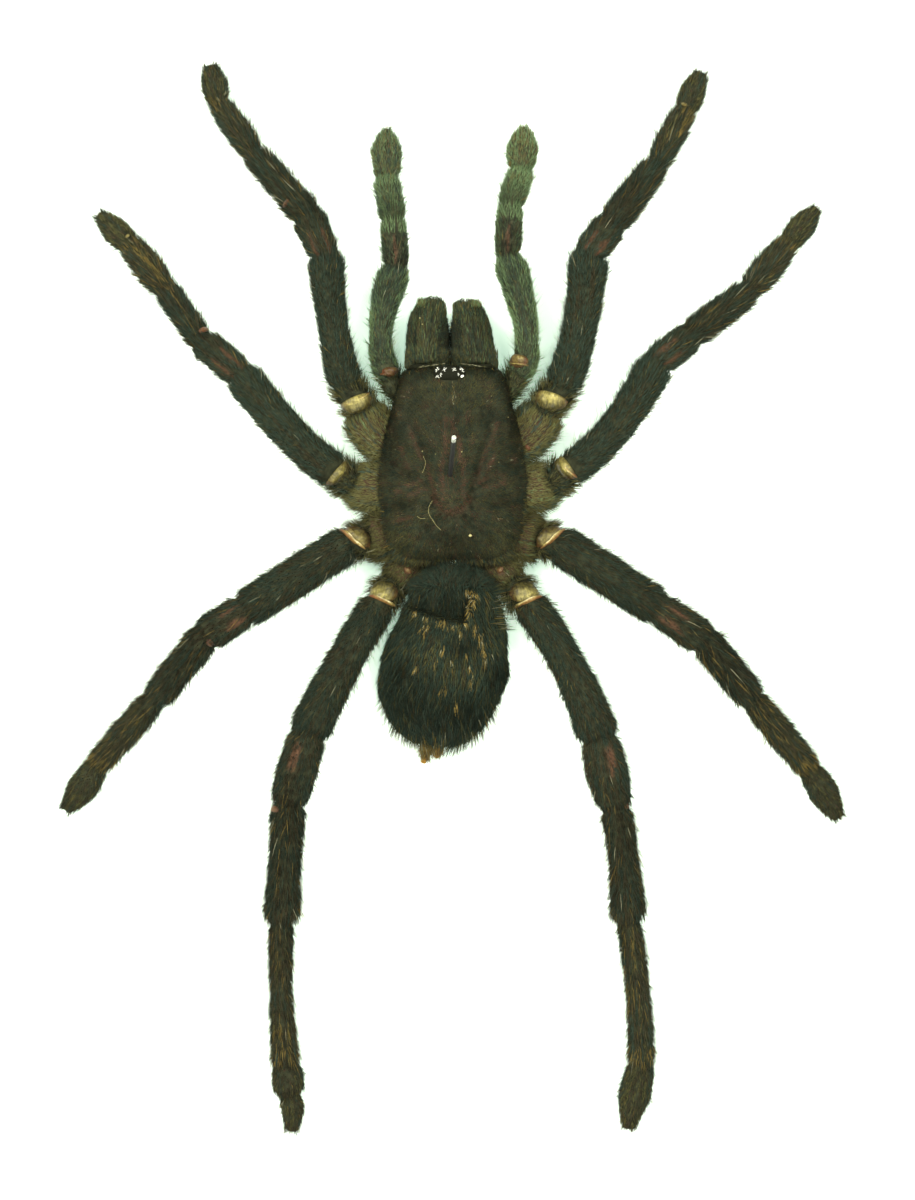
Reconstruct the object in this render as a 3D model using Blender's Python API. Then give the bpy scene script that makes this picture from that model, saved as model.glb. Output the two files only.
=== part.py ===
"""Pinned tarantula specimen, dried and spread, resting on its belly and feet.

Millimetres throughout, scaled to metres when a mesh is finished. +Z is the spider's back,
+Y its head, +X its right side. The origin is the middle of the footprint, on the surface that
the specimen rests on. The solids follow the outline of the fur, not of the shell under it.
"""

import math

import bmesh
import bpy
from mathutils import Matrix, Vector

MM = 0.001

# Driving dimensions
CLEARANCE = 0.3           # gap left between neighbouring pieces
CARAPACE_UNDERSIDE = 5.0  # height of the shield's lower face
CARAPACE_MARGIN = 5.6     # height of its rim
CARAPACE_CREST = 9.9      # height of the middle of its back
HEAD_RISE = 0.8           # how far the head region stands above that
HEAD_START = 17.0         # where along Y the head region begins to rise
HEAD_RAMP = 8.0           # length over which it rises
HEAD_HALF_WIDTH = 6.5
FLANK_CURVE = 3.0         # roundness of the shield's flanks
FACE_CURVE = 18.0         # and of its face, which drops far more steeply
FOVEA = (0.0, 11.7)       # pit in the shield's back, which its furrows run to
FOVEA_DEPTH = 0.7
PIT_REACH = 0.2           # part of the way to the rim that the pit takes up
FURROW_DEPTH = 0.45
FURROW_END = 0.9          # part of the way to the rim that a furrow runs
STERNUM_CENTRE = (0.0, 15.5)
STERNUM_HALF = (2.9, 7.4)
# Heights of the sternum's outlines, and their size over the widest
STERNUM_LEVELS = (
    (CARAPACE_UNDERSIDE - CLEARANCE, 0.94), (3.9, 1.0), (2.2, 0.98), (1.4, 0.84), (0.9, 0.5),
)
STERNUM_SIDES = 16
LABIUM_CENTRE = (0.0, 23.0, 2.6)
LABIUM_HALF = (1.2, 1.3, 1.4)
PIN_RADIUS = 0.3
PIN_ENTRY = Vector((-0.3, 16.0, 9.6))
PIN_LEAN = Vector((0.5, 4.6, 7.5))   # from the entry to the clipped top
PIN_BOTTOM = 0.6                     # height of its lower end above the surface
PIN_HOLE_SPAN = (-3.0, 20.0)         # heights that its hole's cutter runs between
PIN_FACETS = 10

LIMB_SIDES = 10           # facets round a limb
JOINT_NECK = 0.84         # width of the groove at a joint, over its narrower neighbour
ROOT_TAPER = 0.7          # width of a limb's very start, over that of its coxa
PAD_ROUNDING = 0.86       # a foot's pad narrows to this before its tip
PAD_ROUNDED_FROM = 0.8
TIP_TAPER = 0.5
SMOOTH_ANGLE = math.radians(50)

# Height of a limb segment over its width
FLATNESS = {
    "coxa": 0.84,
    "trochanter": 0.92,
    "femur": 0.96,
    "patella": 0.92,
    "tibia": 0.94,
    "metatarsus": 0.92,
    "tarsus": 0.80,
}

# Places of the rings along a segment, from its start at 0 to its end at 1
RINGS = {
    "coxa": (0.2, 0.55, 0.88),
    "trochanter": (0.25, 0.8),
    "femur": (0.05, 0.28, 0.52, 0.76, 0.94),
    "patella": (0.07, 0.5, 0.92),
    "tibia": (0.05, 0.35, 0.68, 0.94),
    "metatarsus": (0.05, 0.35, 0.68, 0.94),
    "tarsus": (0.06, 0.28, 0.52, 0.74, 0.9),
}

# Each limb starts at its root beside the sternum. A row then gives a segment, the place of its
# outer joint, its width at the start, middle and end, and a point on its bend or None.
LIMBS = {
    "palp_left": ((-2.7, 23.2, 2.5), (
        ("coxa", (-7.0, 26.2, 2.7), (2.6, 2.9, 3.2), None),
        ("trochanter", (-8.3, 29.1, 3.8), (3.2, 3.5, 3.5), None),
        ("femur", (-7.3, 42.9, 6.6), (3.8, 3.1, 4.6), (-9.3, 34.6, 5.6)),
        ("patella", (-7.7, 49.0, 6.4), (3.6, 3.6, 3.7), None),
        ("tibia", (-8.6, 54.6, 3.2), (3.6, 3.7, 3.5), None),
        ("tarsus", (-8.6, 61.1, 1.4), (3.4, 4.4, 2.9), None),
    )),
    "palp_right": ((2.7, 23.2, 2.5), (
        ("coxa", (7.0, 26.3, 2.7), (2.6, 2.9, 3.2), None),
        ("trochanter", (8.6, 29.4, 3.8), (3.2, 3.6, 3.6), None),
        ("femur", (7.1, 44.4, 6.6), (3.9, 3.2, 4.5), (9.6, 34.6, 5.6)),
        ("patella", (7.5, 50.9, 6.4), (3.6, 3.6, 3.8), None),
        ("tibia", (8.9, 55.6, 3.2), (3.7, 3.7, 3.6), None),
        ("tarsus", (9.3, 61.4, 1.4), (3.6, 4.4, 2.9), None),
    )),
    "leg_1_left": ((-3.9, 19.6, 2.5), (
        ("coxa", (-11.7, 24.3, 3.1), (3.0, 5.2, 5.0), (-8.6, 20.5, 2.6)),
        ("trochanter", (-13.9, 27.8, 4.4), (5.0, 4.9, 4.8), None),
        ("femur", (-16.4, 44.2, 8.8), (5.0, 4.1, 5.1), (-15.5, 35.6, 7.0)),
        ("patella", (-18.8, 49.6, 8.8), (4.5, 4.4, 5.0), None),
        ("tibia", (-25.8, 57.7, 4.8), (4.6, 4.1, 4.0), None),
        ("metatarsus", (-30.5, 64.5, 2.1), (3.4, 3.9, 3.3), None),
        ("tarsus", (-31.5, 69.4, 1.4), (3.2, 3.9, 2.3), None),
    )),
    "leg_1_right": ((3.9, 19.6, 2.5), (
        ("coxa", (11.8, 24.3, 3.1), (3.0, 5.2, 5.0), (8.6, 20.5, 2.6)),
        ("trochanter", (14.3, 27.6, 4.4), (5.0, 5.0, 5.0), None),
        ("femur", (17.6, 44.4, 8.8), (5.2, 4.7, 5.4), (16.5, 35.2, 7.0)),
        ("patella", (20.6, 48.4, 8.8), (4.6, 4.6, 4.9), None),
        ("tibia", (26.5, 56.2, 4.8), (4.6, 4.4, 4.0), None),
        ("metatarsus", (30.3, 63.5, 2.1), (3.4, 3.9, 3.4), None),
        ("tarsus", (32.4, 68.5, 1.4), (3.3, 3.8, 2.3), None),
    )),
    "leg_2_left": ((-4.2, 15.2, 2.5), (
        ("coxa", (-13.0, 14.9, 3.1), (3.0, 5.4, 5.0), (-8.8, 14.4, 2.6)),
        ("trochanter", (-15.3, 16.5, 4.3), (5.0, 4.9, 4.9), None),
        ("femur", (-27.5, 29.0, 8.8), (5.1, 4.8, 5.1), (-20.5, 20.8, 7.0)),
        ("patella", (-32.4, 33.2, 8.6), (4.4, 4.4, 4.6), None),
        ("tibia", (-37.2, 40.0, 5.0), (4.0, 3.8, 3.9), None),
        ("metatarsus", (-42.0, 46.0, 2.2), (3.7, 4.2, 3.6), None),
        ("tarsus", (-46.1, 50.0, 1.4), (3.5, 3.8, 2.2), None),
    )),
    "leg_2_right": ((4.2, 15.2, 2.5), (
        ("coxa", (12.9, 14.9, 3.1), (3.0, 5.4, 5.0), (8.8, 14.4, 2.6)),
        ("trochanter", (15.2, 16.8, 4.3), (5.0, 4.9, 4.8), None),
        ("femur", (26.5, 30.5, 8.8), (4.9, 4.7, 5.1), (20.9, 21.8, 7.0)),
        ("patella", (30.9, 34.0, 8.6), (4.6, 4.5, 4.6), None),
        ("tibia", (38.4, 39.8, 5.0), (4.4, 4.3, 4.1), None),
        ("metatarsus", (43.7, 46.2, 2.2), (3.7, 4.4, 3.5), None),
        ("tarsus", (47.5, 50.8, 1.4), (3.4, 3.8, 2.2), None),
    )),
    "leg_3_left": ((-3.9, 11.0, 2.5), (
        ("coxa", (-11.2, 7.7, 3.1), (3.0, 5.1, 5.2), (-7.8, 8.7, 2.6)),
        ("trochanter", (-13.5, 7.2, 4.3), (5.2, 5.2, 5.2), None),
        ("femur", (-26.8, -1.5, 7.8), (5.4, 5.4, 5.4), None),
        ("patella", (-31.9, -4.8, 7.8), (4.9, 4.9, 5.2), None),
        ("tibia", (-38.6, -13.0, 4.5), (4.8, 4.5, 4.4), None),
        ("metatarsus", (-46.3, -21.7, 2.2), (3.7, 4.2, 3.6), None),
        ("tarsus", (-50.5, -27.6, 1.4), (3.5, 4.4, 2.3), (-48.2, -24.7, 1.7)),
    )),
    "leg_3_right": ((3.9, 11.0, 2.5), (
        ("coxa", (11.4, 7.7, 3.1), (3.0, 5.1, 5.2), (7.8, 8.7, 2.6)),
        ("trochanter", (13.6, 7.2, 4.3), (5.2, 5.2, 5.2), None),
        ("femur", (26.6, -1.3, 7.8), (5.4, 5.5, 5.2), None),
        ("patella", (32.6, -5.4, 7.8), (4.9, 4.8, 5.0), None),
        ("tibia", (38.9, -13.0, 4.5), (4.8, 4.5, 4.6), None),
        ("metatarsus", (46.5, -22.3, 2.2), (3.7, 4.2, 3.6), None),
        ("tarsus", (50.4, -28.6, 1.4), (3.4, 4.3, 2.3), None),
    )),
    "leg_4_left": ((-2.1, 7.4, 2.5), (
        ("coxa", (-7.5, 2.0, 3.0), (2.8, 4.2, 4.6), None),
        ("trochanter", (-9.4, -0.6, 4.2), (4.6, 4.8, 4.8), None),
        ("femur", (-18.7, -17.5, 7.0), (5.0, 5.0, 5.8), (-13.8, -7.9, 6.2)),
        ("patella", (-21.3, -26.6, 6.8), (5.2, 5.5, 5.2), None),
        ("tibia", (-22.2, -42.0, 4.2), (5.0, 4.5, 5.2), None),
        ("metatarsus", (-21.7, -60.6, 2.3), (3.6, 3.3, 4.0), (-22.3, -51.5, 3.4)),
        ("tarsus", (-21.2, -64.7, 1.9), (4.2, 4.5, 4.4), None),
        ("tarsus", (-21.1, -69.4, 1.4), (3.4, 3.3, 2.2), (-20.8, -67.0, 1.7)),
    )),
    "leg_4_right": ((2.1, 7.4, 2.5), (
        ("coxa", (7.6, 2.0, 3.0), (2.8, 4.2, 4.6), None),
        ("trochanter", (9.8, -0.6, 4.2), (4.6, 4.8, 4.8), None),
        ("femur", (19.0, -18.0, 7.0), (5.0, 4.8, 5.8), (14.9, -8.5, 6.2)),
        ("patella", (21.1, -27.1, 6.8), (5.1, 5.8, 4.8), None),
        ("tibia", (22.8, -41.8, 4.2), (4.5, 4.3, 5.2), (22.3, -34.5, 5.6)),
        ("metatarsus", (24.6, -60.6, 2.3), (3.6, 3.5, 3.9), (24.1, -51.0, 3.4)),
        ("tarsus", (22.9, -69.1, 1.4), (4.0, 4.5, 2.3), None),
    )),
}

# Right half of the shield's rim, from the middle of its front to the middle of its rear
CARAPACE_RIM = (
    (0.0, 30.1), (3.2, 30.1), (5.9, 29.6), (7.0, 27.4), (8.0, 23.6), (9.0, 19.8), (9.6, 15.8),
    (9.3, 11.6), (8.6, 8.0), (6.6, 5.2), (3.4, 4.7), (0.0, 4.9),
)
CARAPACE_RIM_STEPS = 32
UNDERSIDE_RING = 0.97
CARAPACE_RINGS = (1.0, 0.96, 0.88, 0.74, 0.55, 0.33, 0.12)
FURROWED_SPOKES = (4, 9, 13)    # spokes of the rim that a furrow runs along, on each side

EYE_MOUND_CENTRE = (-0.4, 29.0, 9.3)
EYE_MOUND_HALF = (2.0, 1.0, 1.2)

# Abdomen from the waist to the rear: place along Y, middle X, width, top and underside heights
ABDOMEN = (
    (4.3, 0.2, 2.6, 6.4, 4.0),
    (3.2, 0.2, 6.6, 7.8, 3.8),
    (1.4, 0.0, 10.8, 8.8, 3.6),
    (-0.6, 0.0, 12.8, 9.6, 2.6),
    (-2.8, -0.2, 14.2, 10.6, 0.8),
    (-5.4, -0.6, 15.8, 11.6, -0.9),
    (-8.0, -0.9, 17.0, 12.0, -1.2),
    (-10.6, -1.2, 17.4, 11.8, -1.2),
    (-13.2, -1.7, 16.0, 10.8, -1.0),
    (-15.2, -1.8, 14.0, 9.4, -0.7),
    (-17.1, -1.6, 11.0, 7.6, 0.2),
    (-18.4, -1.6, 7.6, 5.8, 1.0),
    (-19.1, -1.8, 3.4, 4.2, 2.0),
)
ABDOMEN_SIDES = 18
# The dried skin has sunk in front of a crease that runs across the back
CREASE_LEFT = (-5.0, -1.8)
CREASE_RIGHT = (1.6, -3.5)
CREASE_DEPTH = 0.9
CREASE_REACH = 5.0        # how far ahead of the crease the skin has sunk
BACK_HEIGHT = 6.0         # skin above this belongs to the back

# Left and right edges of the jaws at places along Y, with top and underside heights
CHELICERAE = {
    "chelicera_left": (
        (30.45, -6.1, -0.5, 8.6, 2.4),
        (32.3, -6.1, -0.5, 9.4, 1.9),
        (34.3, -6.0, -0.5, 9.4, 1.9),
        (35.7, -5.8, -0.6, 9.0, 2.2),
        (37.2, -5.3, -0.7, 8.2, 3.4),
        (38.3, -4.5, -0.9, 7.2, 4.4),
        (38.8, -3.6, -1.4, 6.4, 5.0),
    ),
    "chelicera_right": (
        (30.45, -0.15, 5.8, 8.6, 2.4),
        (32.3, -0.15, 5.6, 9.4, 1.9),
        (34.3, -0.15, 5.2, 9.4, 1.9),
        (35.7, -0.1, 4.9, 9.0, 2.2),
        (37.0, -0.05, 4.4, 8.2, 3.4),
        (38.0, 0.0, 3.7, 7.2, 4.4),
        (38.5, 0.6, 2.9, 6.4, 5.0),
    ),
}
CHELICERA_SIDES = 12

# Middle of each jaw, and the way that its fang drifts
FANG_SIDES = {"fang_left": (-2.9, 1.0), "fang_right": (2.5, -1.0)}
# Fang seen from the left: place along Y, height, radius, and inward drift from its jaw's middle
FANG = (
    (38.0, 2.8, 0.85, 0.0),
    (38.1, 1.9, 0.80, 0.0),
    (37.0, 1.15, 0.68, 0.2),
    (35.4, 0.95, 0.50, 0.5),
    (33.6, 1.0, 0.32, 0.8),
    (32.2, 1.15, 0.10, 1.0),
)

FANG_FACETS = 8           # facets round a fang or a spinneret

# Spinnerets: root, tip and radius, and the places and widths along them that make two joints
SPINNERETS = {
    "spinneret_left": ((-3.1, -19.3, 2.6), (-3.8, -21.6, 2.2), 0.62),
    "spinneret_right": ((-1.4, -19.5, 2.6), (-1.7, -21.0, 2.3), 0.55),
}
SPINNERET_PROFILE = (
    (0.0, 0.8), (0.1, 1.0), (0.4, 0.95), (0.46, 0.78), (0.52, 0.85), (0.75, 0.75),
    (0.92, 0.55), (1.0, 0.25),
)

COLOURS = {
    "fur": (0.035, 0.036, 0.027),
    "velvet": (0.050, 0.042, 0.028),
    "jaw": (0.055, 0.055, 0.040),
    "sage": (0.070, 0.080, 0.055),
    "abdomen": (0.022, 0.030, 0.024),
    "horn": (0.018, 0.010, 0.007),
    "tuft": (0.210, 0.110, 0.040),
    "pin": (0.008, 0.008, 0.008),
}


def clear_scene():
    for thing in list(bpy.data.objects):
        bpy.data.objects.remove(thing, do_unlink=True)


def make_material(name, roughness=0.85, metallic=0.0):
    material = bpy.data.materials.new(name)
    material.use_nodes = True
    shader = material.node_tree.nodes["Principled BSDF"]
    shader.inputs["Base Color"].default_value = (*COLOURS[name], 1.0)
    shader.inputs["Roughness"].default_value = roughness
    shader.inputs["Metallic"].default_value = metallic
    return material


def object_from(name, bm):
    """Turn a mesh in millimetres into a closed, outward facing object in metres."""
    bmesh.ops.recalc_face_normals(bm, faces=bm.faces)
    bmesh.ops.scale(bm, vec=(MM, MM, MM), verts=bm.verts)
    mesh = bpy.data.meshes.new(name)
    bm.to_mesh(mesh)
    bm.free()
    shape = bpy.data.objects.new(name, mesh)
    bpy.context.scene.collection.objects.link(shape)
    return shape


def finish(name, bm, material):
    """A piece of the specimen."""
    piece = object_from(name, bm)
    piece.data.materials.append(material)
    piece.data.shade_smooth()
    piece.data.set_sharp_from_angle(angle=SMOOTH_ANGLE)
    return piece


def helper(name, bm):
    """A guide or cutter that isn't part of the specimen."""
    shape = object_from(name, bm)
    shape.hide_render = True
    shape.display_type = "WIRE"
    return shape


def ring_edges(bm, sides, matrix, capped=False):
    """One closed ring: a unit circle placed by the matrix."""
    made = bmesh.ops.create_circle(bm, cap_ends=capped, segments=sides, radius=1.0, matrix=matrix)
    verts = set(made["verts"])
    return [edge for edge in bm.edges if verts.issuperset(edge.verts)]


def loft(bm, sides, matrices):
    """A closed skin through rings placed by the matrices, capped at both ends."""
    last = len(matrices) - 1
    previous = None
    for index, matrix in enumerate(matrices):
        edges = ring_edges(bm, sides, matrix, capped=index in (0, last))
        if previous:
            bmesh.ops.bridge_loops(bm, edges=previous + edges)
        previous = edges


def matrix_from(side, up, along, centre):
    """A placement from its three axes, as columns, and its centre."""
    matrix = Matrix((side, up, along)).transposed().to_4x4()
    matrix.translation = centre
    return matrix


def ring_matrix(centre, along, half_width, half_height):
    """A ring across the direction `along`, level from side to side."""
    along = along.normalized()
    side = along.cross(Vector((0, 0, 1))).normalized()
    up = side.cross(along)
    return matrix_from(side * half_width, up * half_height, along, centre)


def through(start, bend, end, place):
    """A point of the parabola from start to end that passes through bend at its middle."""
    if bend is None:
        return start.lerp(end, place)
    control = 2 * bend - (start + end) / 2
    return start.lerp(control, place).lerp(control.lerp(end, place), place)


def blended_width(widths, place):
    first, middle, last = widths
    if place < 0.5:
        return first + (middle - first) * place * 2
    return middle + (last - middle) * (place - 0.5) * 2


def limb_rings(root, segments):
    """Centres, widths and heights of a limb's rings, from its root to its tip."""
    rings = []
    start = Vector(root)
    root_width = segments[0][2][0] * ROOT_TAPER
    rings.append((start.copy(), root_width, root_width * FLATNESS["coxa"]))
    for index, (kind, end, widths, bend) in enumerate(segments):
        end = Vector(end)
        bend = Vector(bend) if bend else None
        for place in RINGS[kind]:
            width = blended_width(widths, place)
            if kind == "tarsus" and place > PAD_ROUNDED_FROM:
                width *= PAD_ROUNDING
            rings.append((through(start, bend, end, place), width, width * FLATNESS[kind]))
        if index + 1 < len(segments):
            following = segments[index + 1]
            neck = JOINT_NECK * min(widths[2], following[2][0])
            rings.append((end.copy(), neck, neck * FLATNESS[kind]))
        else:
            tip = widths[2] * TIP_TAPER
            rings.append((end.copy(), tip, tip * FLATNESS[kind]))
        start = end
    return rings


def rest_on_surface(bm):
    """Press whatever would reach below the surface flat against it."""
    for vert in bm.verts:
        vert.co.z = max(vert.co.z, 0.0)


def make_limb(name, root, segments, material):
    rings = limb_rings(root, segments)
    matrices = []
    for index, (centre, width, height) in enumerate(rings):
        before = rings[max(index - 1, 0)][0]
        after = rings[min(index + 1, len(rings) - 1)][0]
        matrices.append(ring_matrix(centre, after - before, width / 2, height / 2))
    bm = bmesh.new()
    loft(bm, LIMB_SIDES, matrices)
    rest_on_surface(bm)
    return finish(name, bm, material)


def closed_curve(points, steps):
    """Evenly stepped points on a smooth closed curve through the given points."""
    count = len(points)
    curve = []
    for step in range(steps):
        place = step * count / steps
        index = int(place)
        t = place - index
        a, b, c, d = (Vector(points[(index + offset) % count]) for offset in (-1, 0, 1, 2))
        bent = 2 * b + (c - a) * t + (2 * a - 5 * b + 4 * c - d) * t * t
        curve.append((bent + (3 * b - a - 3 * c + d) * t ** 3) / 2)
    return curve


def carapace_rim():
    mirrored = [(-x, y) for x, y in reversed(CARAPACE_RIM[1:-1])]
    return closed_curve(list(CARAPACE_RIM) + mirrored, CARAPACE_RIM_STEPS)


def shield_height(point, fraction, spoke):
    """Height of the shield's back on a spoke from the fovea, at a fraction of the way out."""
    forward = max(0.0, min(1.0, (point.y - HEAD_START) / HEAD_RAMP))
    curve = FLANK_CURVE + (FACE_CURVE - FLANK_CURVE) * forward ** 2
    crest = CARAPACE_CREST + HEAD_RISE * forward * max(0.0, 1 - (point.x / HEAD_HALF_WIDTH) ** 2)
    height = CARAPACE_MARGIN + (crest - CARAPACE_MARGIN) * (1 - fraction ** curve)
    furrowed = min(spoke, CARAPACE_RIM_STEPS - spoke) in FURROWED_SPOKES
    if furrowed and PIT_REACH < fraction < FURROW_END:
        height -= FURROW_DEPTH
    if fraction < PIT_REACH:
        height -= FOVEA_DEPTH * (PIT_REACH - fraction) / PIT_REACH
    return height


def make_carapace(material, cutter):
    """Rings of the rim's outline, shrunk towards the fovea and lifted to the shield's height."""
    bm = bmesh.new()
    rim = carapace_rim()
    fovea = Vector(FOVEA)
    previous = None
    levels = [UNDERSIDE_RING] + list(CARAPACE_RINGS)
    for level, fraction in enumerate(levels):
        at_end = level in (0, len(levels) - 1)
        edges = ring_edges(bm, CARAPACE_RIM_STEPS, Matrix.Identity(4), capped=at_end)
        for spoke, vert in enumerate(clockwise_from_front(edges)):
            point = fovea + (rim[spoke] - fovea) * fraction
            height = shield_height(point, fraction, spoke) if level else CARAPACE_UNDERSIDE
            vert.co = (point.x, point.y, height)
        if previous:
            bmesh.ops.bridge_loops(bm, edges=previous + edges)
        previous = edges
    innermost = [face for face in bm.faces if len(face.verts) == CARAPACE_RIM_STEPS][-1]
    pit = bmesh.ops.poke(bm, faces=[innermost])["verts"][0]
    pit.co.z = CARAPACE_CREST - FOVEA_DEPTH
    carapace = finish("carapace", bm, material)
    join_and_cut(carapace, [make_eye_mound()], cutter)
    return carapace


def clockwise_from_front(edges):
    """The vertices of a ring about the Z axis, starting with the one towards +Y."""
    verts = {vert for edge in edges for vert in edge.verts}
    half_step = math.pi / len(verts)
    return sorted(verts, key=lambda vert: (math.atan2(vert.co.x, vert.co.y) + half_step) % math.tau)


def make_eye_mound():
    bm = bmesh.new()
    place = Matrix.Translation(EYE_MOUND_CENTRE) @ Matrix.Diagonal((*EYE_MOUND_HALF, 1.0))
    bmesh.ops.create_uvsphere(bm, u_segments=12, v_segments=6, radius=1.0, matrix=place)
    return helper("eye_mound", bm)


def join_and_cut(piece, additions, cutter):
    for addition in additions:
        union = piece.modifiers.new("join", "BOOLEAN")
        union.operation = "UNION"
        union.solver = "EXACT"
        union.object = addition
    cut = piece.modifiers.new("pin_hole", "BOOLEAN")
    cut.operation = "DIFFERENCE"
    cut.solver = "EXACT"
    cut.object = cutter


def pin_point(height):
    """Where the pin's centre line crosses a height."""
    return PIN_ENTRY + PIN_LEAN * ((height - PIN_ENTRY.z) / PIN_LEAN.z)


def make_pin_cutter():
    bm = bmesh.new()
    ends = (pin_point(PIN_HOLE_SPAN[0]), pin_point(PIN_HOLE_SPAN[1]))
    radius = PIN_RADIUS + CLEARANCE
    loft(bm, PIN_FACETS, [ring_matrix(end, PIN_LEAN, radius, radius) for end in ends])
    return helper("pin_cutter", bm)


def make_pin(material):
    bm = bmesh.new()
    top = PIN_ENTRY + PIN_LEAN
    ends = (pin_point(PIN_BOTTOM + PIN_RADIUS), top)
    loft(bm, PIN_FACETS, [ring_matrix(end, PIN_LEAN, PIN_RADIUS, PIN_RADIUS) for end in ends])
    return finish("pin", bm, material)


def make_sternum(material, cutter):
    """A heart-long plate, flat above where the shield covers it and domed below."""
    bm = bmesh.new()
    matrices = []
    for height, size in STERNUM_LEVELS:
        centre = Matrix.Translation((*STERNUM_CENTRE, height))
        spread = Matrix.Diagonal((STERNUM_HALF[0] * size, STERNUM_HALF[1] * size, 1.0, 1.0))
        matrices.append(centre @ spread)
    loft(bm, STERNUM_SIDES, matrices)
    sternum = finish("sternum", bm, material)
    join_and_cut(sternum, [make_labium()], cutter)
    return sternum


def make_labium():
    bm = bmesh.new()
    place = Matrix.Translation(LABIUM_CENTRE) @ Matrix.Diagonal((*LABIUM_HALF, 1.0))
    bmesh.ops.create_uvsphere(bm, u_segments=10, v_segments=6, radius=1.0, matrix=place)
    return helper("labium", bm)


def make_abdomen(material):
    bm = bmesh.new()
    matrices = []
    for y, x, width, top, underside in ABDOMEN:
        centre = Vector((x, y, (top + underside) / 2))
        matrices.append(ring_matrix(centre, Vector((0, -1, 0)), width / 2, (top - underside) / 2))
    loft(bm, ABDOMEN_SIDES, matrices)
    for vert in bm.verts:
        vert.co.z -= crease_sink(vert.co)
    rest_on_surface(bm)
    return finish("abdomen", bm, material)


def crease_sink(point):
    """How far the back has sunk in front of the crease, which the upper skin alone shows."""
    left, right = Vector(CREASE_LEFT), Vector(CREASE_RIGHT)
    along = (point.x - left.x) / (right.x - left.x)
    if not 0.0 < along < 1.0 or point.z < BACK_HEIGHT:
        return 0.0
    ahead = point.y - (left.y + (right.y - left.y) * along)
    if ahead < 0.0:
        return 0.0
    return CREASE_DEPTH * math.sin(math.pi * along) * max(0.0, 1 - ahead / CREASE_REACH)


def make_chelicera(name, stations, material):
    bm = bmesh.new()
    matrices = []
    for y, left, right, top, underside in stations:
        centre = Vector(((left + right) / 2, y, (top + underside) / 2))
        half = ((right - left) / 2, (top - underside) / 2)
        matrices.append(ring_matrix(centre, Vector((0, 1, 0)), *half))
    loft(bm, CHELICERA_SIDES, matrices)
    return finish(name, bm, material)


def make_fang(name, jaw_middle, inward, material):
    """A curved horn, folded back under its jaw."""
    centres = []
    for y, height, radius, drift in FANG:
        centres.append(Vector((jaw_middle + inward * drift, y, height)))
    side = Vector((1, 0, 0))
    matrices = []
    for index, centre in enumerate(centres):
        before = centres[max(index - 1, 0)]
        after = centres[min(index + 1, len(centres) - 1)]
        radius = FANG[index][2]
        along = (after - before).normalized()
        up = side.cross(along).normalized()
        matrices.append(matrix_from(side * radius, up * radius, along, centre))
    bm = bmesh.new()
    loft(bm, FANG_FACETS, matrices)
    return finish(name, bm, material)


def make_spinneret(name, base, tip, radius, material):
    base, tip = Vector(base), Vector(tip)
    matrices = []
    for place, size in SPINNERET_PROFILE:
        matrices.append(ring_matrix(base.lerp(tip, place), tip - base, radius * size, radius * size))
    bm = bmesh.new()
    loft(bm, FANG_FACETS, matrices)
    return finish(name, bm, material)


def main():
    clear_scene()
    cutter = make_pin_cutter()
    fur = make_material("fur")
    sage = make_material("sage")
    velvet = make_material("velvet")
    horn = make_material("horn", roughness=0.3)
    jaw = make_material("jaw")
    tuft = make_material("tuft")
    make_carapace(velvet, cutter)
    make_sternum(fur, cutter)
    make_abdomen(make_material("abdomen"))
    for name, (root, segments) in LIMBS.items():
        make_limb(name, root, segments, sage if name.startswith("palp") else fur)
    for name, stations in CHELICERAE.items():
        make_chelicera(name, stations, jaw)
    for name, (jaw_middle, inward) in FANG_SIDES.items():
        make_fang(name, jaw_middle, inward, horn)
    for name, (base, tip, radius) in SPINNERETS.items():
        make_spinneret(name, base, tip, radius, tuft)
    make_pin(make_material("pin", roughness=0.35))


main()
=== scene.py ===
"""Pinned tarantula specimen: skins, fur, membranes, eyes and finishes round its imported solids.

Sizes are in millimetres and become metres when a mesh is finished. +Z is the spider's back,
+Y its head and +X its right side. Each skin lies a fur's depth inside the solid it replaces,
and the fur on it reaches out to that solid's surface.
"""

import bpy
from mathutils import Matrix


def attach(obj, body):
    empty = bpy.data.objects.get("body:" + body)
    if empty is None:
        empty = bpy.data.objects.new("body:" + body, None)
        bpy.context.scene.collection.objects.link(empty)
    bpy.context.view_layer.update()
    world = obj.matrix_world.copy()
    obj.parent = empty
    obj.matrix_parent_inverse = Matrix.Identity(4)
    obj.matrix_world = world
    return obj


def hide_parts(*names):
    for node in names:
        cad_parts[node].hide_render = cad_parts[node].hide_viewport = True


bl_info = {
    "name": "Pinned Tarantula Specimen",
    "version": (1, 0, 0),
    "blender": (4, 5, 0),
    "location": "View3D > Sidebar > Specimen",
    "description": "Builds the fur and finishes of a dried, spread tarantula on an insect pin",
    "category": "Object",
}

import math
from collections import namedtuple

import bmesh
import bpy
import numpy as np
from bpy.props import FloatProperty, FloatVectorProperty, PointerProperty
from mathutils import Matrix, Vector

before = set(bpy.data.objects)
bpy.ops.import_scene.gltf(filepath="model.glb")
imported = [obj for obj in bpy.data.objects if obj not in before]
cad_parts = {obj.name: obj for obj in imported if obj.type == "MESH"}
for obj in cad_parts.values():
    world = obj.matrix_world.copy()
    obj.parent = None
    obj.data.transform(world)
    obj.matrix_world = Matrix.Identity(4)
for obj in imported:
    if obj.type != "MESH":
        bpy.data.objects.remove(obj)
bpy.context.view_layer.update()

MM = 0.001
BODY = "root"
UP = np.array((0.0, 0.0, 1.0))

# Photograph: scale and frame at the height of the legs
PHOTO_WIDTH, PHOTO_HEIGHT = 915, 1200
PHOTO_SCALE = 0.13  # millimetres per pixel
PHOTO_ORIGIN = (452.5, 598.2)  # pixel over the specimen's origin
LEG_HEIGHT = 4.0
SENSOR = 36.0


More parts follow.
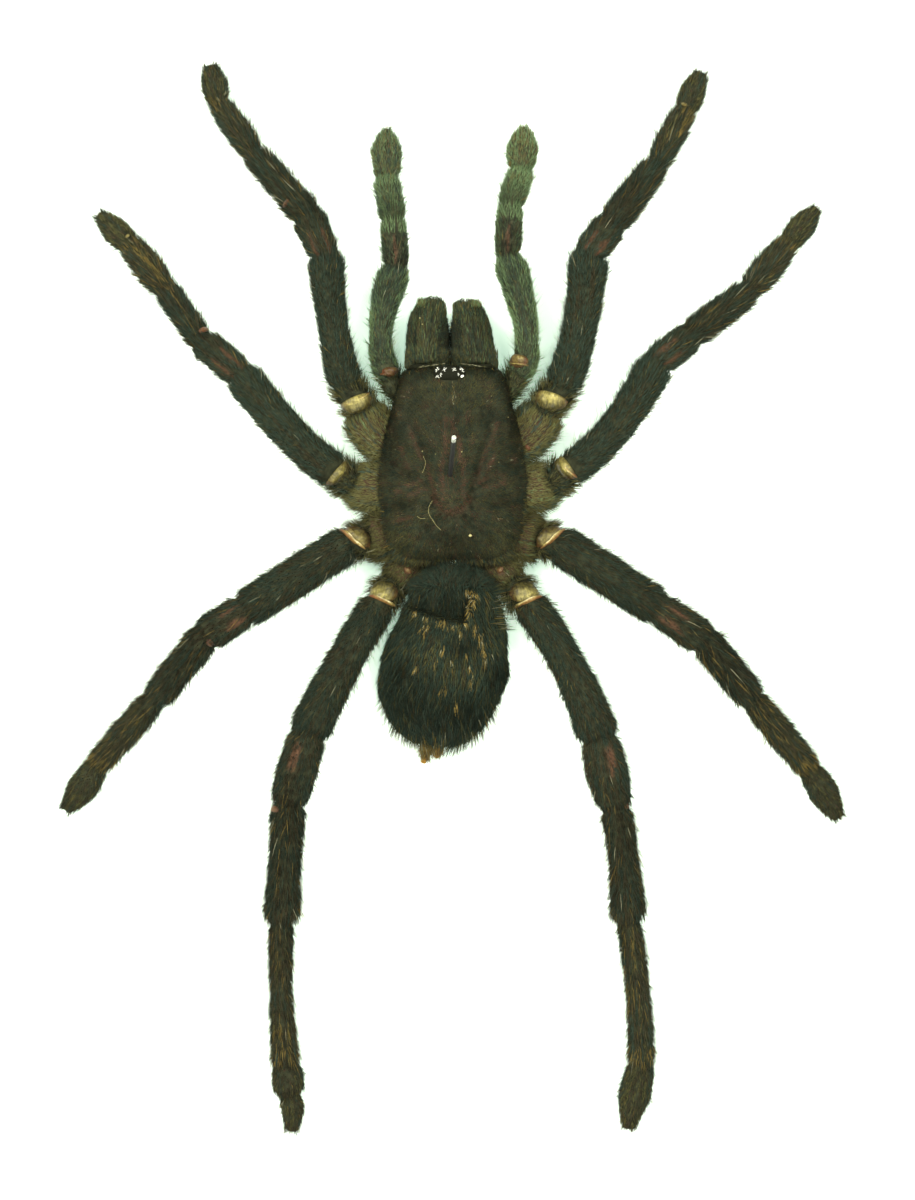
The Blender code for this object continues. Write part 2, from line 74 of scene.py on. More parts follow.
# Settings that a user would change

def srgb(code):
    """Linear colour of an sRGB hex value."""
    channels = []
    for start in (0, 2, 4):
        value = int(code[start:start + 2], 16) / 255
        channels.append(value / 12.92 if value <= 0.04045 else ((value + 0.055) / 1.055) ** 2.4)
    return (*channels, 1.0)


def colour(name, description, code):
    """A colour setting with its default as an sRGB hex value."""
    return FloatVectorProperty(name=name, description=description, subtype="COLOR", size=3,
                               min=0.0, max=1.0, default=srgb(code)[:3])


def length(name, description, millimetres):
    """A length setting with its default in millimetres."""
    return FloatProperty(name=name, description=description, subtype="DISTANCE", unit="LENGTH",
                         min=0.0, precision=6, default=millimetres * MM)


HAIR_COLOURS = ("teal", "brown", "red", "olive", "sage", "gold", "pale")
# Brightness of a hair at a tone, over its middle colour: tone and brightness
HAIR_TONES = ((0.02, 0.22), (0.5, 1.0), (0.98, 2.3))


class SpecimenHair(bpy.types.PropertyGroup):
    """Middle colours of the hairs, from which their dark and pale ones follow, and their build."""

    teal: colour("Teal", "Black-green fur of the thighs and the abdomen", "3a483d")
    brown: colour("Brown", "Brown strands of the outer leg segments", "454030")
    red: colour("Red", "Rubbed red-brown hair in furrows and round joints", "5c4438")
    olive: colour("Olive", "Short velvet of the leg bases and the shield", "5b5938")
    sage: colour("Sage", "Grey-green fur of the palps", "5f7350")
    gold: colour("Gold", "Golden strands and tufts", "86723f")
    pale: colour("Pale", "Ivory hair round the palp joints and in the fringes", "aca98c")
    underfur_width: length("Underfur Width", "Thickness of a short hair at its root", 0.10)
    bristle_width: length("Bristle Width", "Thickness of a long hair at its root", 0.075)
    density: FloatProperty(name="Density", description="Number of hairs, over the full number",
                           subtype="FACTOR", min=0.05, max=1.0, default=1.0)


class SpecimenFinish(bpy.types.PropertyGroup):
    """Colours of what the fur leaves bare."""

    chitin: colour("Chitin", "Shell under the fur", "25271b")
    bald: colour("Bald Chitin", "Shell where the fur is rubbed off", "543d2e")
    membrane: colour("Membrane", "Dried skin between the leg segments", "7c7340")
    # The fold's ivory is a painted highlight on the taut fold of the membrane
    fold: colour("Membrane Fold", "Taut bright fold of that skin", "efe3ba")
    fang: colour("Fang", "Horn of the fangs and claws", "1a0c08")
    enamel: colour("Pin Enamel", "Black enamel of the insect pin", "040c05")
    steel: colour("Cut Steel", "Steel of the pin's cut end", "e4e3dc")


class SpecimenStage(bpy.types.PropertyGroup):
    """Floor, lights and camera."""

    floor: colour("Floor", "Opal acrylic sheet under the specimen", "f3f6f2")
    glow: colour("Floor Glow", "Light that comes through the sheet", "d6ffe4")
    glow_strength: FloatProperty(name="Glow Strength", description="Strength of the sheet's own light",
                                 min=0.0, default=0.62)
    softbox_power: FloatProperty(name="Softbox Power", description="Power of the main softbox",
                                 subtype="POWER", unit="POWER", min=0.0, default=11.0)
    sky_strength: FloatProperty(name="Room Light", description="Strength of the light from all round",
                                min=0.0, default=0.6)
    camera_height: length("Camera Height", "Distance of the camera above the floor", 867.0)


# Nodes and finishes

def add_node(tree, kind, inputs=None, **settings):
    """Add a node, set its properties, and set or link its inputs."""
    node = tree.nodes.new(kind)
    for name, value in settings.items():
        setattr(node, name, value)
    for name, value in (inputs or {}).items():
        if isinstance(value, bpy.types.NodeSocket):
            tree.links.new(value, node.inputs[name])
        else:
            node.inputs[name].default_value = value
    return node


def shaded(tint, factor):
    """A colour made darker or paler."""
    return (*(min(1.0, channel * factor) for channel in tint[:3]), 1.0)


def ramp(tree, factor, stops):
    """The colour that a factor gives on a ramp, from stops of place and linear colour."""
    node = add_node(tree, "ShaderNodeValToRGB", {"Fac": factor})
    elements = node.color_ramp.elements
    while len(elements) > 1:
        elements.remove(elements[-1])
    elements[0].position, elements[0].color = stops[0]
    for place, tint in stops[1:]:
        elements.new(place).color = tint
    return node.outputs["Color"]


def uneven(tree, factor, tint, *levels):
    """A colour that a factor makes darker or paler, from levels of place and brightness."""
    return ramp(tree, factor, [(place, shaded(tint, level)) for place, level in levels])


def start_material(name):
    """A material with an empty node tree."""
    material = bpy.data.materials.new(name)
    material.use_nodes = True
    material.node_tree.nodes.clear()
    return material, material.node_tree


def surfaced(material, inputs):
    """The material, with a shader on its output."""
    tree = material.node_tree
    shader = add_node(tree, "ShaderNodeBsdfPrincipled", inputs)
    add_node(tree, "ShaderNodeOutputMaterial", {"Surface": shader.outputs["BSDF"]})
    return material


def object_noise(tree, size, detail=4.0, stretch=(1.0, 1.0, 1.0)):
    """Solid noise with grains of a size in millimetres, drawn out along an axis by stretch."""
    place = add_node(tree, "ShaderNodeTexCoord")
    mapped = add_node(tree, "ShaderNodeMapping", {"Vector": place.outputs["Object"], "Scale": stretch})
    noise = add_node(tree, "ShaderNodeTexNoise", {
        "Vector": mapped.outputs["Vector"], "Scale": 1.0 / (size * MM), "Detail": detail, "Roughness": 0.6,
    })
    return noise.outputs["Fac"]


def mixed(tree, factor, first, second):
    """The blend of two colours."""
    node = add_node(tree, "ShaderNodeMix", {0: factor, 6: first, 7: second}, data_type="RGBA")
    return node.outputs[2]


def hair_material(name, roughness, gloss):
    """Spider hair: hollow dull chitin, one colour from root to tip that pales a little outwards.
    The map's U picks the colour and its tone, and V runs along the hair."""
    settings = bpy.context.scene.specimen_hair
    material, tree = start_material(name)
    place = add_node(tree, "ShaderNodeUVMap", uv_map="OFBake")
    parts = add_node(tree, "ShaderNodeSeparateXYZ", {"Vector": place.outputs["UV"]})
    stops = []
    for number, hair in enumerate(HAIR_COLOURS):
        for tone, level in HAIR_TONES:
            stops.append(((number + tone) / len(HAIR_COLOURS), shaded(getattr(settings, hair), level)))
    shade = ramp(tree, parts.outputs["X"], stops)
    fade = add_node(tree, "ShaderNodeMapRange", {"Value": parts.outputs["Y"], "To Min": 0.8, "To Max": 1.12})
    tinted = add_node(tree, "ShaderNodeVectorMath", {0: shade, "Scale": fade.outputs["Result"]},
                      operation="SCALE")
    return surfaced(material, {
        "Base Color": tinted.outputs["Vector"], "Roughness": roughness, "Specular IOR Level": gloss,
    })


def chitin_material(name, paleness, roughness):
    """Spider shell under the fur: hard brown chitin, mottled and dull, nearly hidden, and
    orange brown where the mask called bald says that it is rubbed bare."""
    settings = bpy.context.scene.specimen_finish
    material, tree = start_material(name)
    mottle = object_noise(tree, 0.9)
    streak = object_noise(tree, 0.3, 3.0)
    base = uneven(tree, mottle, shaded(settings.chitin, paleness), (0.35, 0.5), (0.65, 1.5))
    rubbed = uneven(tree, streak, settings.bald, (0.32, 0.3), (0.68, 1.0))
    mask = add_node(tree, "ShaderNodeAttribute", attribute_name="bald")
    grain = add_node(tree, "ShaderNodeBump", {"Height": streak, "Strength": 0.3, "Distance": 0.1 * MM})
    return surfaced(material, {
        "Base Color": mixed(tree, mask.outputs["Fac"], base, rubbed), "Roughness": roughness,
        "Specular IOR Level": 0.05, "Normal": grain.outputs["Normal"],
    })


def membrane_material(name):
    """Dried joint membrane: translucent skin gone gold and olive, glossy, with fine folds along
    the limb. The mask called glow runs from dark edge to taut ivory fold, and redness reddens;
    the fold's ivory and the dome's bright ridge in that mask are painted highlights."""
    settings = bpy.context.scene.specimen_finish
    material, tree = start_material(name)
    place = add_node(tree, "ShaderNodeUVMap", uv_map="lens")
    folds = add_node(tree, "ShaderNodeMapping", {"Vector": place.outputs["UV"], "Scale": (26.0, 3.0, 1.0)})
    stripes = add_node(tree, "ShaderNodeTexNoise", {
        "Vector": folds.outputs["Vector"], "Scale": 1.0, "Detail": 3.0, "Roughness": 0.6,
    })
    blotch = object_noise(tree, 0.4)
    glow = add_node(tree, "ShaderNodeAttribute", attribute_name="glow")
    redness = add_node(tree, "ShaderNodeAttribute", attribute_name="redness")
    relief = add_node(tree, "ShaderNodeMath", {0: stripes.outputs["Fac"], 1: blotch}, operation="ADD")
    centred = add_node(tree, "ShaderNodeMath", {0: relief.outputs["Value"], 1: -1.0}, operation="ADD")
    level = add_node(tree, "ShaderNodeMath", {0: centred.outputs["Value"], 1: 0.75, 2: glow.outputs["Fac"]},
                     operation="MULTIPLY_ADD")
    skin = ramp(tree, level.outputs["Value"], (
        (0.0, shaded(settings.chitin, 0.4)), (0.25, shaded(settings.membrane, 0.25)),
        (0.5, shaded(settings.membrane, 0.75)), (0.75, shaded(settings.membrane, 1.8)),
        (1.0, shaded(settings.fold, 1.0)),
    ))
    wrinkle = add_node(tree, "ShaderNodeBump", {
        "Height": relief.outputs["Value"], "Strength": 0.6, "Distance": 0.12 * MM,
    })
    return surfaced(material, {
        "Base Color": mixed(tree, redness.outputs["Fac"], skin, srgb("6e4027")), "Roughness": 0.36,
        "Specular IOR Level": 0.3, "Normal": wrinkle.outputs["Normal"],
    })


def hard_material(name, tint, roughness, metallic=0.0, gloss=0.5, coat=0.0, grain=0.4, depth=0.01):
    """A hard finish whose colour, shine and surface vary a little, with a grain in millimetres."""
    material, tree = start_material(name)
    noise = object_noise(tree, grain, 3.0)
    shine = add_node(tree, "ShaderNodeMapRange", {
        "Value": noise, "To Min": roughness * 0.8, "To Max": roughness * 1.2,
    })
    bump = add_node(tree, "ShaderNodeBump", {"Height": noise, "Strength": 0.4, "Distance": depth * MM})
    return surfaced(material, {
        "Base Color": uneven(tree, noise, tint, (0.3, 0.7), (0.7, 1.25)),
        "Roughness": shine.outputs["Result"], "Metallic": metallic, "Specular IOR Level": gloss,
        "Coat Weight": coat, "Normal": bump.outputs["Normal"],
    })


def eye_material(name):
    """Spider eye: a black glassy lens, with a silver middle where its mask says so: partly the
    silver mirror behind the lens, and partly a painted glint of the lamps."""
    material, tree = start_material(name)
    mask = add_node(tree, "ShaderNodeAttribute", attribute_name="mirror")
    silver = ramp(tree, object_noise(tree, 0.15), ((0.3, srgb("c9cdb4")), (0.6, srgb("f4f5ea"))))
    return surfaced(material, {
        "Base Color": mixed(tree, mask.outputs["Fac"], srgb("080706"), silver), "Roughness": 0.08,
        "Specular IOR Level": 0.5, "Coat Weight": 0.6,
    })


def floor_material(name):
    """Opal acrylic sheet over a light box: smooth, milky, and bright through and through."""
    settings = bpy.context.scene.specimen_stage
    material, tree = start_material(name)
    return surfaced(material, {
        "Base Color": uneven(tree, object_noise(tree, 60.0, 2.0), settings.floor, (0.3, 0.97), (0.7, 1.0)),
        "Roughness": 0.7, "Specular IOR Level": 0.1,
        "Emission Color": shaded(settings.glow, 1.0), "Emission Strength": settings.glow_strength,
    })


def shared(name, maker, *values):
    """A material by name, made the first time that it is asked for."""
    return bpy.data.materials.get(name) or maker(name, *values)


def leg_hair():
    return shared("leg_hair", hair_material, 0.6, 0.04)


def leg_chitin():
    return shared("leg_chitin", chitin_material, 1.0, 0.7)


# Numbers along curves and over surfaces

def unit(vectors):
    return vectors / np.maximum(np.linalg.norm(vectors, axis=-1, keepdims=True), 1e-9)


def wobble(points, size, seed, waves=8):
    """A smooth random value, mostly between -1 and 1, at each point, with bumps of a size."""
    rng = np.random.default_rng(seed)
    total = np.zeros(points.shape[:-1])
    for _ in range(waves):
        way = unit(rng.normal(size=3))
        pitch = size * rng.uniform(1.3, 3.2)
        total += np.sin(points @ way * (math.tau / pitch) + rng.uniform(0.0, math.tau))
    return total / math.sqrt(waves)


def curve_between(a, b, c, d, t):
    """A smooth curve from b to c, with a and d as the points before and after them."""
    square, cube = 2 * a - 5 * b + 4 * c - d, 3 * b - a - 3 * c + d
    return (2 * b + (c - a) * t + square * t ** 2 + cube * t ** 3) / 2


def smooth_rows(rows, count):
    """Rows of numbers resampled on a smooth curve through the given ones."""
    rows = np.array(rows, float)
    padded = np.concatenate((2 * rows[:1] - rows[1:2], rows, 2 * rows[-1:] - rows[-2:-1]))
    place = np.linspace(0.0, len(rows) - 1, count)
    i = np.minimum(place.astype(int), len(rows) - 2)
    return curve_between(padded[i], padded[i + 1], padded[i + 2], padded[i + 3], (place - i)[:, None])


def smoothed(values):
    """Values averaged with their neighbours."""
    padded = np.concatenate((values[:1], values, values[-1:]))
    return (padded[:-2] + 2 * padded[1:-1] + padded[2:]) / 4


def through(start, bend, end, place):
    """A point of the parabola from start to end that passes through bend at its middle."""
    if bend is None:
        return start + (end - start) * place
    control = 2 * bend - (start + end) / 2
    near = start + (control - start) * place
    return near + (control + (end - control) * place - near) * place


def distance_to(points, start, end):
    """Distance in the plan view from points to the line between two places, and the place along
    it of the nearest point."""
    start, end = np.array(start), np.array(end)
    run = end - start
    place = np.clip(((points[..., :2] - start) @ run) / (run @ run), 0.0, 1.0)
    nearest = start + place[..., None] * run
    return np.linalg.norm(points[..., :2] - nearest, axis=-1), place


def near_lines(points, lines, half_width):
    """How near points lie to any of the lines in the plan view, from 0 to 1 on the line."""
    strength = np.zeros(points.shape[:-1])
    for start, end in lines:
        gap, _ = distance_to(points, start, end)
        strength = np.maximum(strength, np.exp(-(gap / half_width) ** 2))
    return strength


def near_spots(points, spots):
    """How near points lie to the middle of any spot: place and radii across and along the body."""
    strength = np.zeros(points.shape[:-1])
    for (x, y), (across, along) in spots:
        gap = ((points[..., 0] - x) / across) ** 2 + ((points[..., 1] - y) / along) ** 2
        strength = np.maximum(strength, np.exp(-gap))
    return strength


def pairs(points):
    return list(zip(points, points[1:]))


class Surface:
    """A skin as a grid of points: rings along it, each wrapped round from its top."""

    def __init__(self, points, tubular=True):
        self.points = points
        along = np.gradient(points, axis=0)
        around = (np.roll(points, -1, axis=1) - np.roll(points, 1, axis=1)) / 2
        normals = np.cross(along, around)
        self.area = np.linalg.norm(normals, axis=-1)
        outward = points - points.mean(axis=1 if tubular else (0, 1), keepdims=True)
        if (normals * outward).sum() < 0:
            normals = -normals
        self.normals = unit(normals)
        self.ways = unit(along)

    def read(self, grid, u, v):
        """Values of a grid at fractions u along and v round the skin."""
        rings, sides = grid.shape[:2]
        row = np.clip(u, 0.0, 1.0) * (rings - 1)
        i = np.minimum(row.astype(int), rings - 2)
        f = (row - i)[:, None]
        column = (v % 1.0) * sides
        j = column.astype(int) % sides
        k = (j + 1) % sides
        g = (column - np.floor(column))[:, None]
        near = grid[i, j] * (1 - g) + grid[i, k] * g
        far = grid[i + 1, j] * (1 - g) + grid[i + 1, k] * g
        return near * (1 - f) + far * f

    def at(self, u, v):
        """Points, outward normals and directions along the skin."""
        normals = unit(self.read(self.normals, u, v))
        ways = self.read(self.ways, u, v)
        ways = unit(ways - normals * (ways * normals).sum(axis=-1, keepdims=True))
        return self.read(self.points, u, v), normals, ways

    def lay(self, u, v, leans, rng, spread, turn=None):
        """Roots of hairs, the ways they point and the way of the skin. They lean off it by some
        degrees and lie along it, or along what turn makes of its points and ways."""
        roots, normals, ways = self.at(u, v)
        if turn is not None:
            ways = turn(roots, ways)
            ways = unit(ways - normals * (ways * normals).sum(axis=-1, keepdims=True))
        leans = np.radians(leans + rng.normal(0, 7, len(u)))[:, None]
        sideways = np.cross(normals, ways) * rng.normal(0, spread, len(u))[:, None]
        return roots, ways * np.cos(leans) + normals * np.sin(leans) + sideways, ways


# Corners of a hair's triangles: a three-sided spike, and one with a bend halfway
SPIKE = ((0, 2, 1), (0, 1, 3), (1, 2, 3), (2, 0, 3))
BENT = (
    (0, 2, 1), (0, 1, 4), (0, 4, 3), (1, 2, 5), (1, 5, 4), (2, 0, 3), (2, 3, 5),
    (3, 4, 6), (4, 5, 6), (5, 3, 6),
)
FLOOR_GAP = 0.03  # hair stays this far above the surface
ROOT_SINK = 0.08  # and starts this far inside its skin


def pick(weights, noise):
    """The colour of each hair, drawn by its weights. Hairs with like noise get like colours, so
    that they lie in strands."""
    table = np.stack([np.broadcast_to(weight, noise.shape) for weight in weights.values()], axis=1)
    table = np.clip(table, 0.0, None)
    limits = np.cumsum(table, axis=1) / np.maximum(table.sum(axis=1, keepdims=True), 1e-9)
    rank = (noise.argsort().argsort() + 0.5) / len(noise)
    chosen = np.minimum((rank[:, None] > limits).sum(axis=1), len(weights) - 1)
    return np.array([HAIR_COLOURS.index(name) for name in weights])[chosen]


# Hairs for each square millimetre, how many degrees they lean off the skin, how far they point
# sideways, limits of their length, shares of the hair colours, and limits of their tone
PlainCoat = namedtuple("PlainCoat", "density lean spread lengths mix tones")


class Fur:
    """The hairs of one piece, gathered as arrays and joined in one mesh."""

    def __init__(self, seed):
        settings = bpy.context.scene.specimen_hair
        self.rng = np.random.default_rng(seed)
        self.fine = settings.underfur_width / MM
        self.bristle = settings.bristle_width / MM
        self.density = settings.density
        self.corners = []
        self.points = []
        self.maps = []
        self.count = 0

    def scatter(self, surface, density):
        """Random places on a skin, as fractions along and round it, at a density for each point."""
        weight = surface.area * density * self.density
        count = int(weight.sum())
        share = weight.ravel() / weight.sum()
        ring, side = np.divmod(self.rng.choice(weight.size, size=count, p=share), weight.shape[1])
        u = (ring + self.rng.uniform(-0.5, 0.5, count)) / (weight.shape[0] - 1)
        v = (side + self.rng.uniform(-0.5, 0.5, count)) / weight.shape[1]
        return np.clip(u, 0.0, 1.0), v % 1.0

    def add(self, roots, ways, lengths, width, colours, tones, bend_to=None):
        """Hairs from their roots along their ways. Where bend_to is given, the outer half of
        each leans over towards it."""
        ways = unit(ways)
        spare = unit(np.cross(ways, unit(self.rng.normal(size=ways.shape))))
        other = np.cross(ways, spare)
        widths = width * self.rng.uniform(0.75, 1.2, len(roots))
        lengths = lengths[:, None]
        roots = roots - ways * ROOT_SINK
        places = [(roots, 0.5)]
        if bend_to is None:
            tips = roots + ways * lengths
        else:
            middles = roots + ways * lengths * 0.5
            tips = middles + unit(ways + bend_to) * lengths * 0.5
            places.append((middles, 0.36))
        rings = []
        for centres, size in places:
            for corner in range(3):
                angle = math.tau * corner / 3
                offset = spare * math.cos(angle) + other * math.sin(angle)
                rings.append(centres + offset * (widths * size)[:, None])
        points = np.stack(rings + [tips], axis=1)
        points[:, :, 2] = np.maximum(points[:, :, 2], FLOOR_GAP)
        first = self.count + np.arange(len(roots))[:, None, None] * points.shape[1]
        self.corners.append((first + np.array(BENT if len(places) > 1 else SPIKE)).reshape(-1, 3))
        self.points.append(points.reshape(-1, 3))
        self.count += points.shape[0] * points.shape[1]
        self.maps.append(self.mapped(colours, tones, len(places)))

    @staticmethod
    def mapped(colours, tones, levels):
        """Each corner's place in the colour map: across for colour and tone, up for the way out."""
        across = (colours + 0.05 + 0.90 * np.clip(tones, 0.0, 1.0)) / len(HAIR_COLOURS)
        columns = []
        for level in range(levels):
            for shift, lift in ((-0.003, 0.0), (0.0, 0.03), (0.003, 0.0)):
                columns.append(np.stack((across + shift, np.full_like(across, level * 0.5 + lift)), axis=-1))
        columns.append(np.stack((across, np.ones_like(across)), axis=-1))
        return np.stack(columns, axis=1).reshape(-1, 2)

    def draw(self, mix, count):
        """The colours of hairs that lie in no strands."""
        return pick(mix, self.rng.normal(0, 1, count))

    def sow(self, surface, density, lean, spread, turn=None):
        """Hairs at random places: their roots, the ways they point, the way of the skin, and
        their places on it."""
        u, v = self.scatter(surface, density)
        return (*surface.lay(u, v, lean, self.rng, spread, turn), u, v)

    def grow(self, surface, coat, where, width, turn=None, droop=0.0):
        """A plain coat where a mask lets it grow."""
        roots, lie, ways, _, _ = self.sow(surface, coat.density * where, coat.lean, coat.spread, turn)
        count = len(roots)
        colours = self.draw(coat.mix, count)
        lengths = self.rng.uniform(*coat.lengths, count)
        tones = self.rng.uniform(*coat.tones, count)
        self.add(roots, lie, lengths, width, colours, tones, ways * droop if droop else None)

    def build(self, name, material):
        """Join the hairs in one piece."""
        if not self.points:
            raise ValueError(f"{name} has no hairs")
        points = np.concatenate(self.points) * MM
        corners = np.concatenate(self.corners)
        mesh = bpy.data.meshes.new(name)
        mesh.vertices.add(len(points))
        mesh.vertices.foreach_set("co", points.astype(np.float32).ravel())
        mesh.loops.add(corners.size)
        mesh.loops.foreach_set("vertex_index", corners.astype(np.int32).ravel())
        mesh.polygons.add(len(corners))
        mesh.polygons.foreach_set("loop_start", np.arange(0, corners.size, 3, dtype=np.int32))
        mesh.update(calc_edges=True)
        spread = np.concatenate(self.maps)[corners.ravel()]
        mesh.uv_layers.new(name="OFBake").data.foreach_set("uv", spread.astype(np.float32).ravel())
        mesh.shade_smooth()
        return place_piece(name, mesh, material)


# Pieces

def place_piece(name, mesh, material, replaces=()):
    """Put a mesh in the scene as a piece of the specimen."""
    mesh.materials.append(material)
    piece = bpy.data.objects.new(name, mesh)
    bpy.context.scene.collection.objects.link(piece)
    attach(piece, BODY)
    if replaces:
        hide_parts(*replaces)
    return piece


def finish(name, bm, material, replaces=(), masks=None):
    """Turn a mesh in millimetres into a smooth, closed piece, with a value at each of its points
    for each named mask."""
    bmesh.ops.recalc_face_normals(bm, faces=bm.faces)
    bmesh.ops.scale(bm, vec=(MM, MM, MM), verts=bm.verts)
    mesh = bpy.data.meshes.new(name)
    bm.to_mesh(mesh)
    bm.free()
    mesh.shade_smooth()
    for mask, values in (masks or {}).items():
        layer = mesh.attributes.new(mask, "FLOAT", "POINT")
        layer.data.foreach_set("value", np.asarray(values, np.float32).ravel())
    return place_piece(name, mesh, material, replaces)


def loft(bm, grid):
    """A skin over a grid's rings, closed at both ends."""
    previous = None
    last = len(grid) - 1
    for number, ring in enumerate(grid):
        made = bmesh.ops.create_circle(bm, cap_ends=number in (0, last), segments=len(ring), radius=1.0)
        for vert, point in zip(made["verts"], ring):
            vert.co = point
        edges = list({edge for vert in made["verts"] for edge in vert.link_edges})
        if previous:
            bmesh.ops.bridge_loops(bm, edges=previous + edges)
        previous = edges


def skin_piece(name, grid, material, replaces=(), masks=None):
    """A closed skin over a grid."""
    bm = bmesh.new()
    loft(bm, grid)
    return finish(name, bm, material, replaces, masks)


def rings_round(centres, ways, half_widths, half_heights, sides):
    """Points of level ellipses across the ways: numbered from the top towards the left side."""
    ways = unit(ways)
    side = unit(np.cross(ways, UP))
    lift = np.cross(side, ways)
    angles = np.arange(sides) * math.tau / sides
    across = -np.sin(angles)[None, :, None] * (side * half_widths[:, None])[:, None, :]
    upward = np.cos(angles)[None, :, None] * (lift * half_heights[:, None])[:, None, :]
    return centres[:, None, :] + across + upward


def thread(bm, line, radius, sides=8, steps=6, taper=0.0):
    """A thin closed tube on a smooth curve through the line's points."""
    centres = smooth_rows(line, steps * len(line))
    sizes = radius * (1 - taper * np.linspace(0.0, 1.0, len(centres)))
    loft(bm, rings_round(centres, np.gradient(centres, axis=0), sizes, sizes, sides))


# Limbs
JOINT_REACH = 0.55  # half length of the groove at a joint
JOINT_NECK = 0.80
ROOT_TAPER = 0.95
COXA_SWELL = 1.2
RING_STEP = 0.55  # distance between a skin's rings along a limb
LIMB_SIDES = 26
SKIN_GAP = 0.12  # least height of a limb's skin
TURN_SMOOTHING = 3  # rounds in which a skin's direction is averaged
# Round tip of the last segment: the place where it begins, and how much it narrows
LEG_TIP = (0.86, 0.5)
PALP_TIP = (0.55, 0.85)

FLATNESS = {
    "coxa": 0.84,
    "trochanter": 0.92,
    "femur": 0.96,
    "patella": 0.92,
    "tibia": 0.94,
    "metatarsus": 0.92,
    "tarsus": 0.80,
}

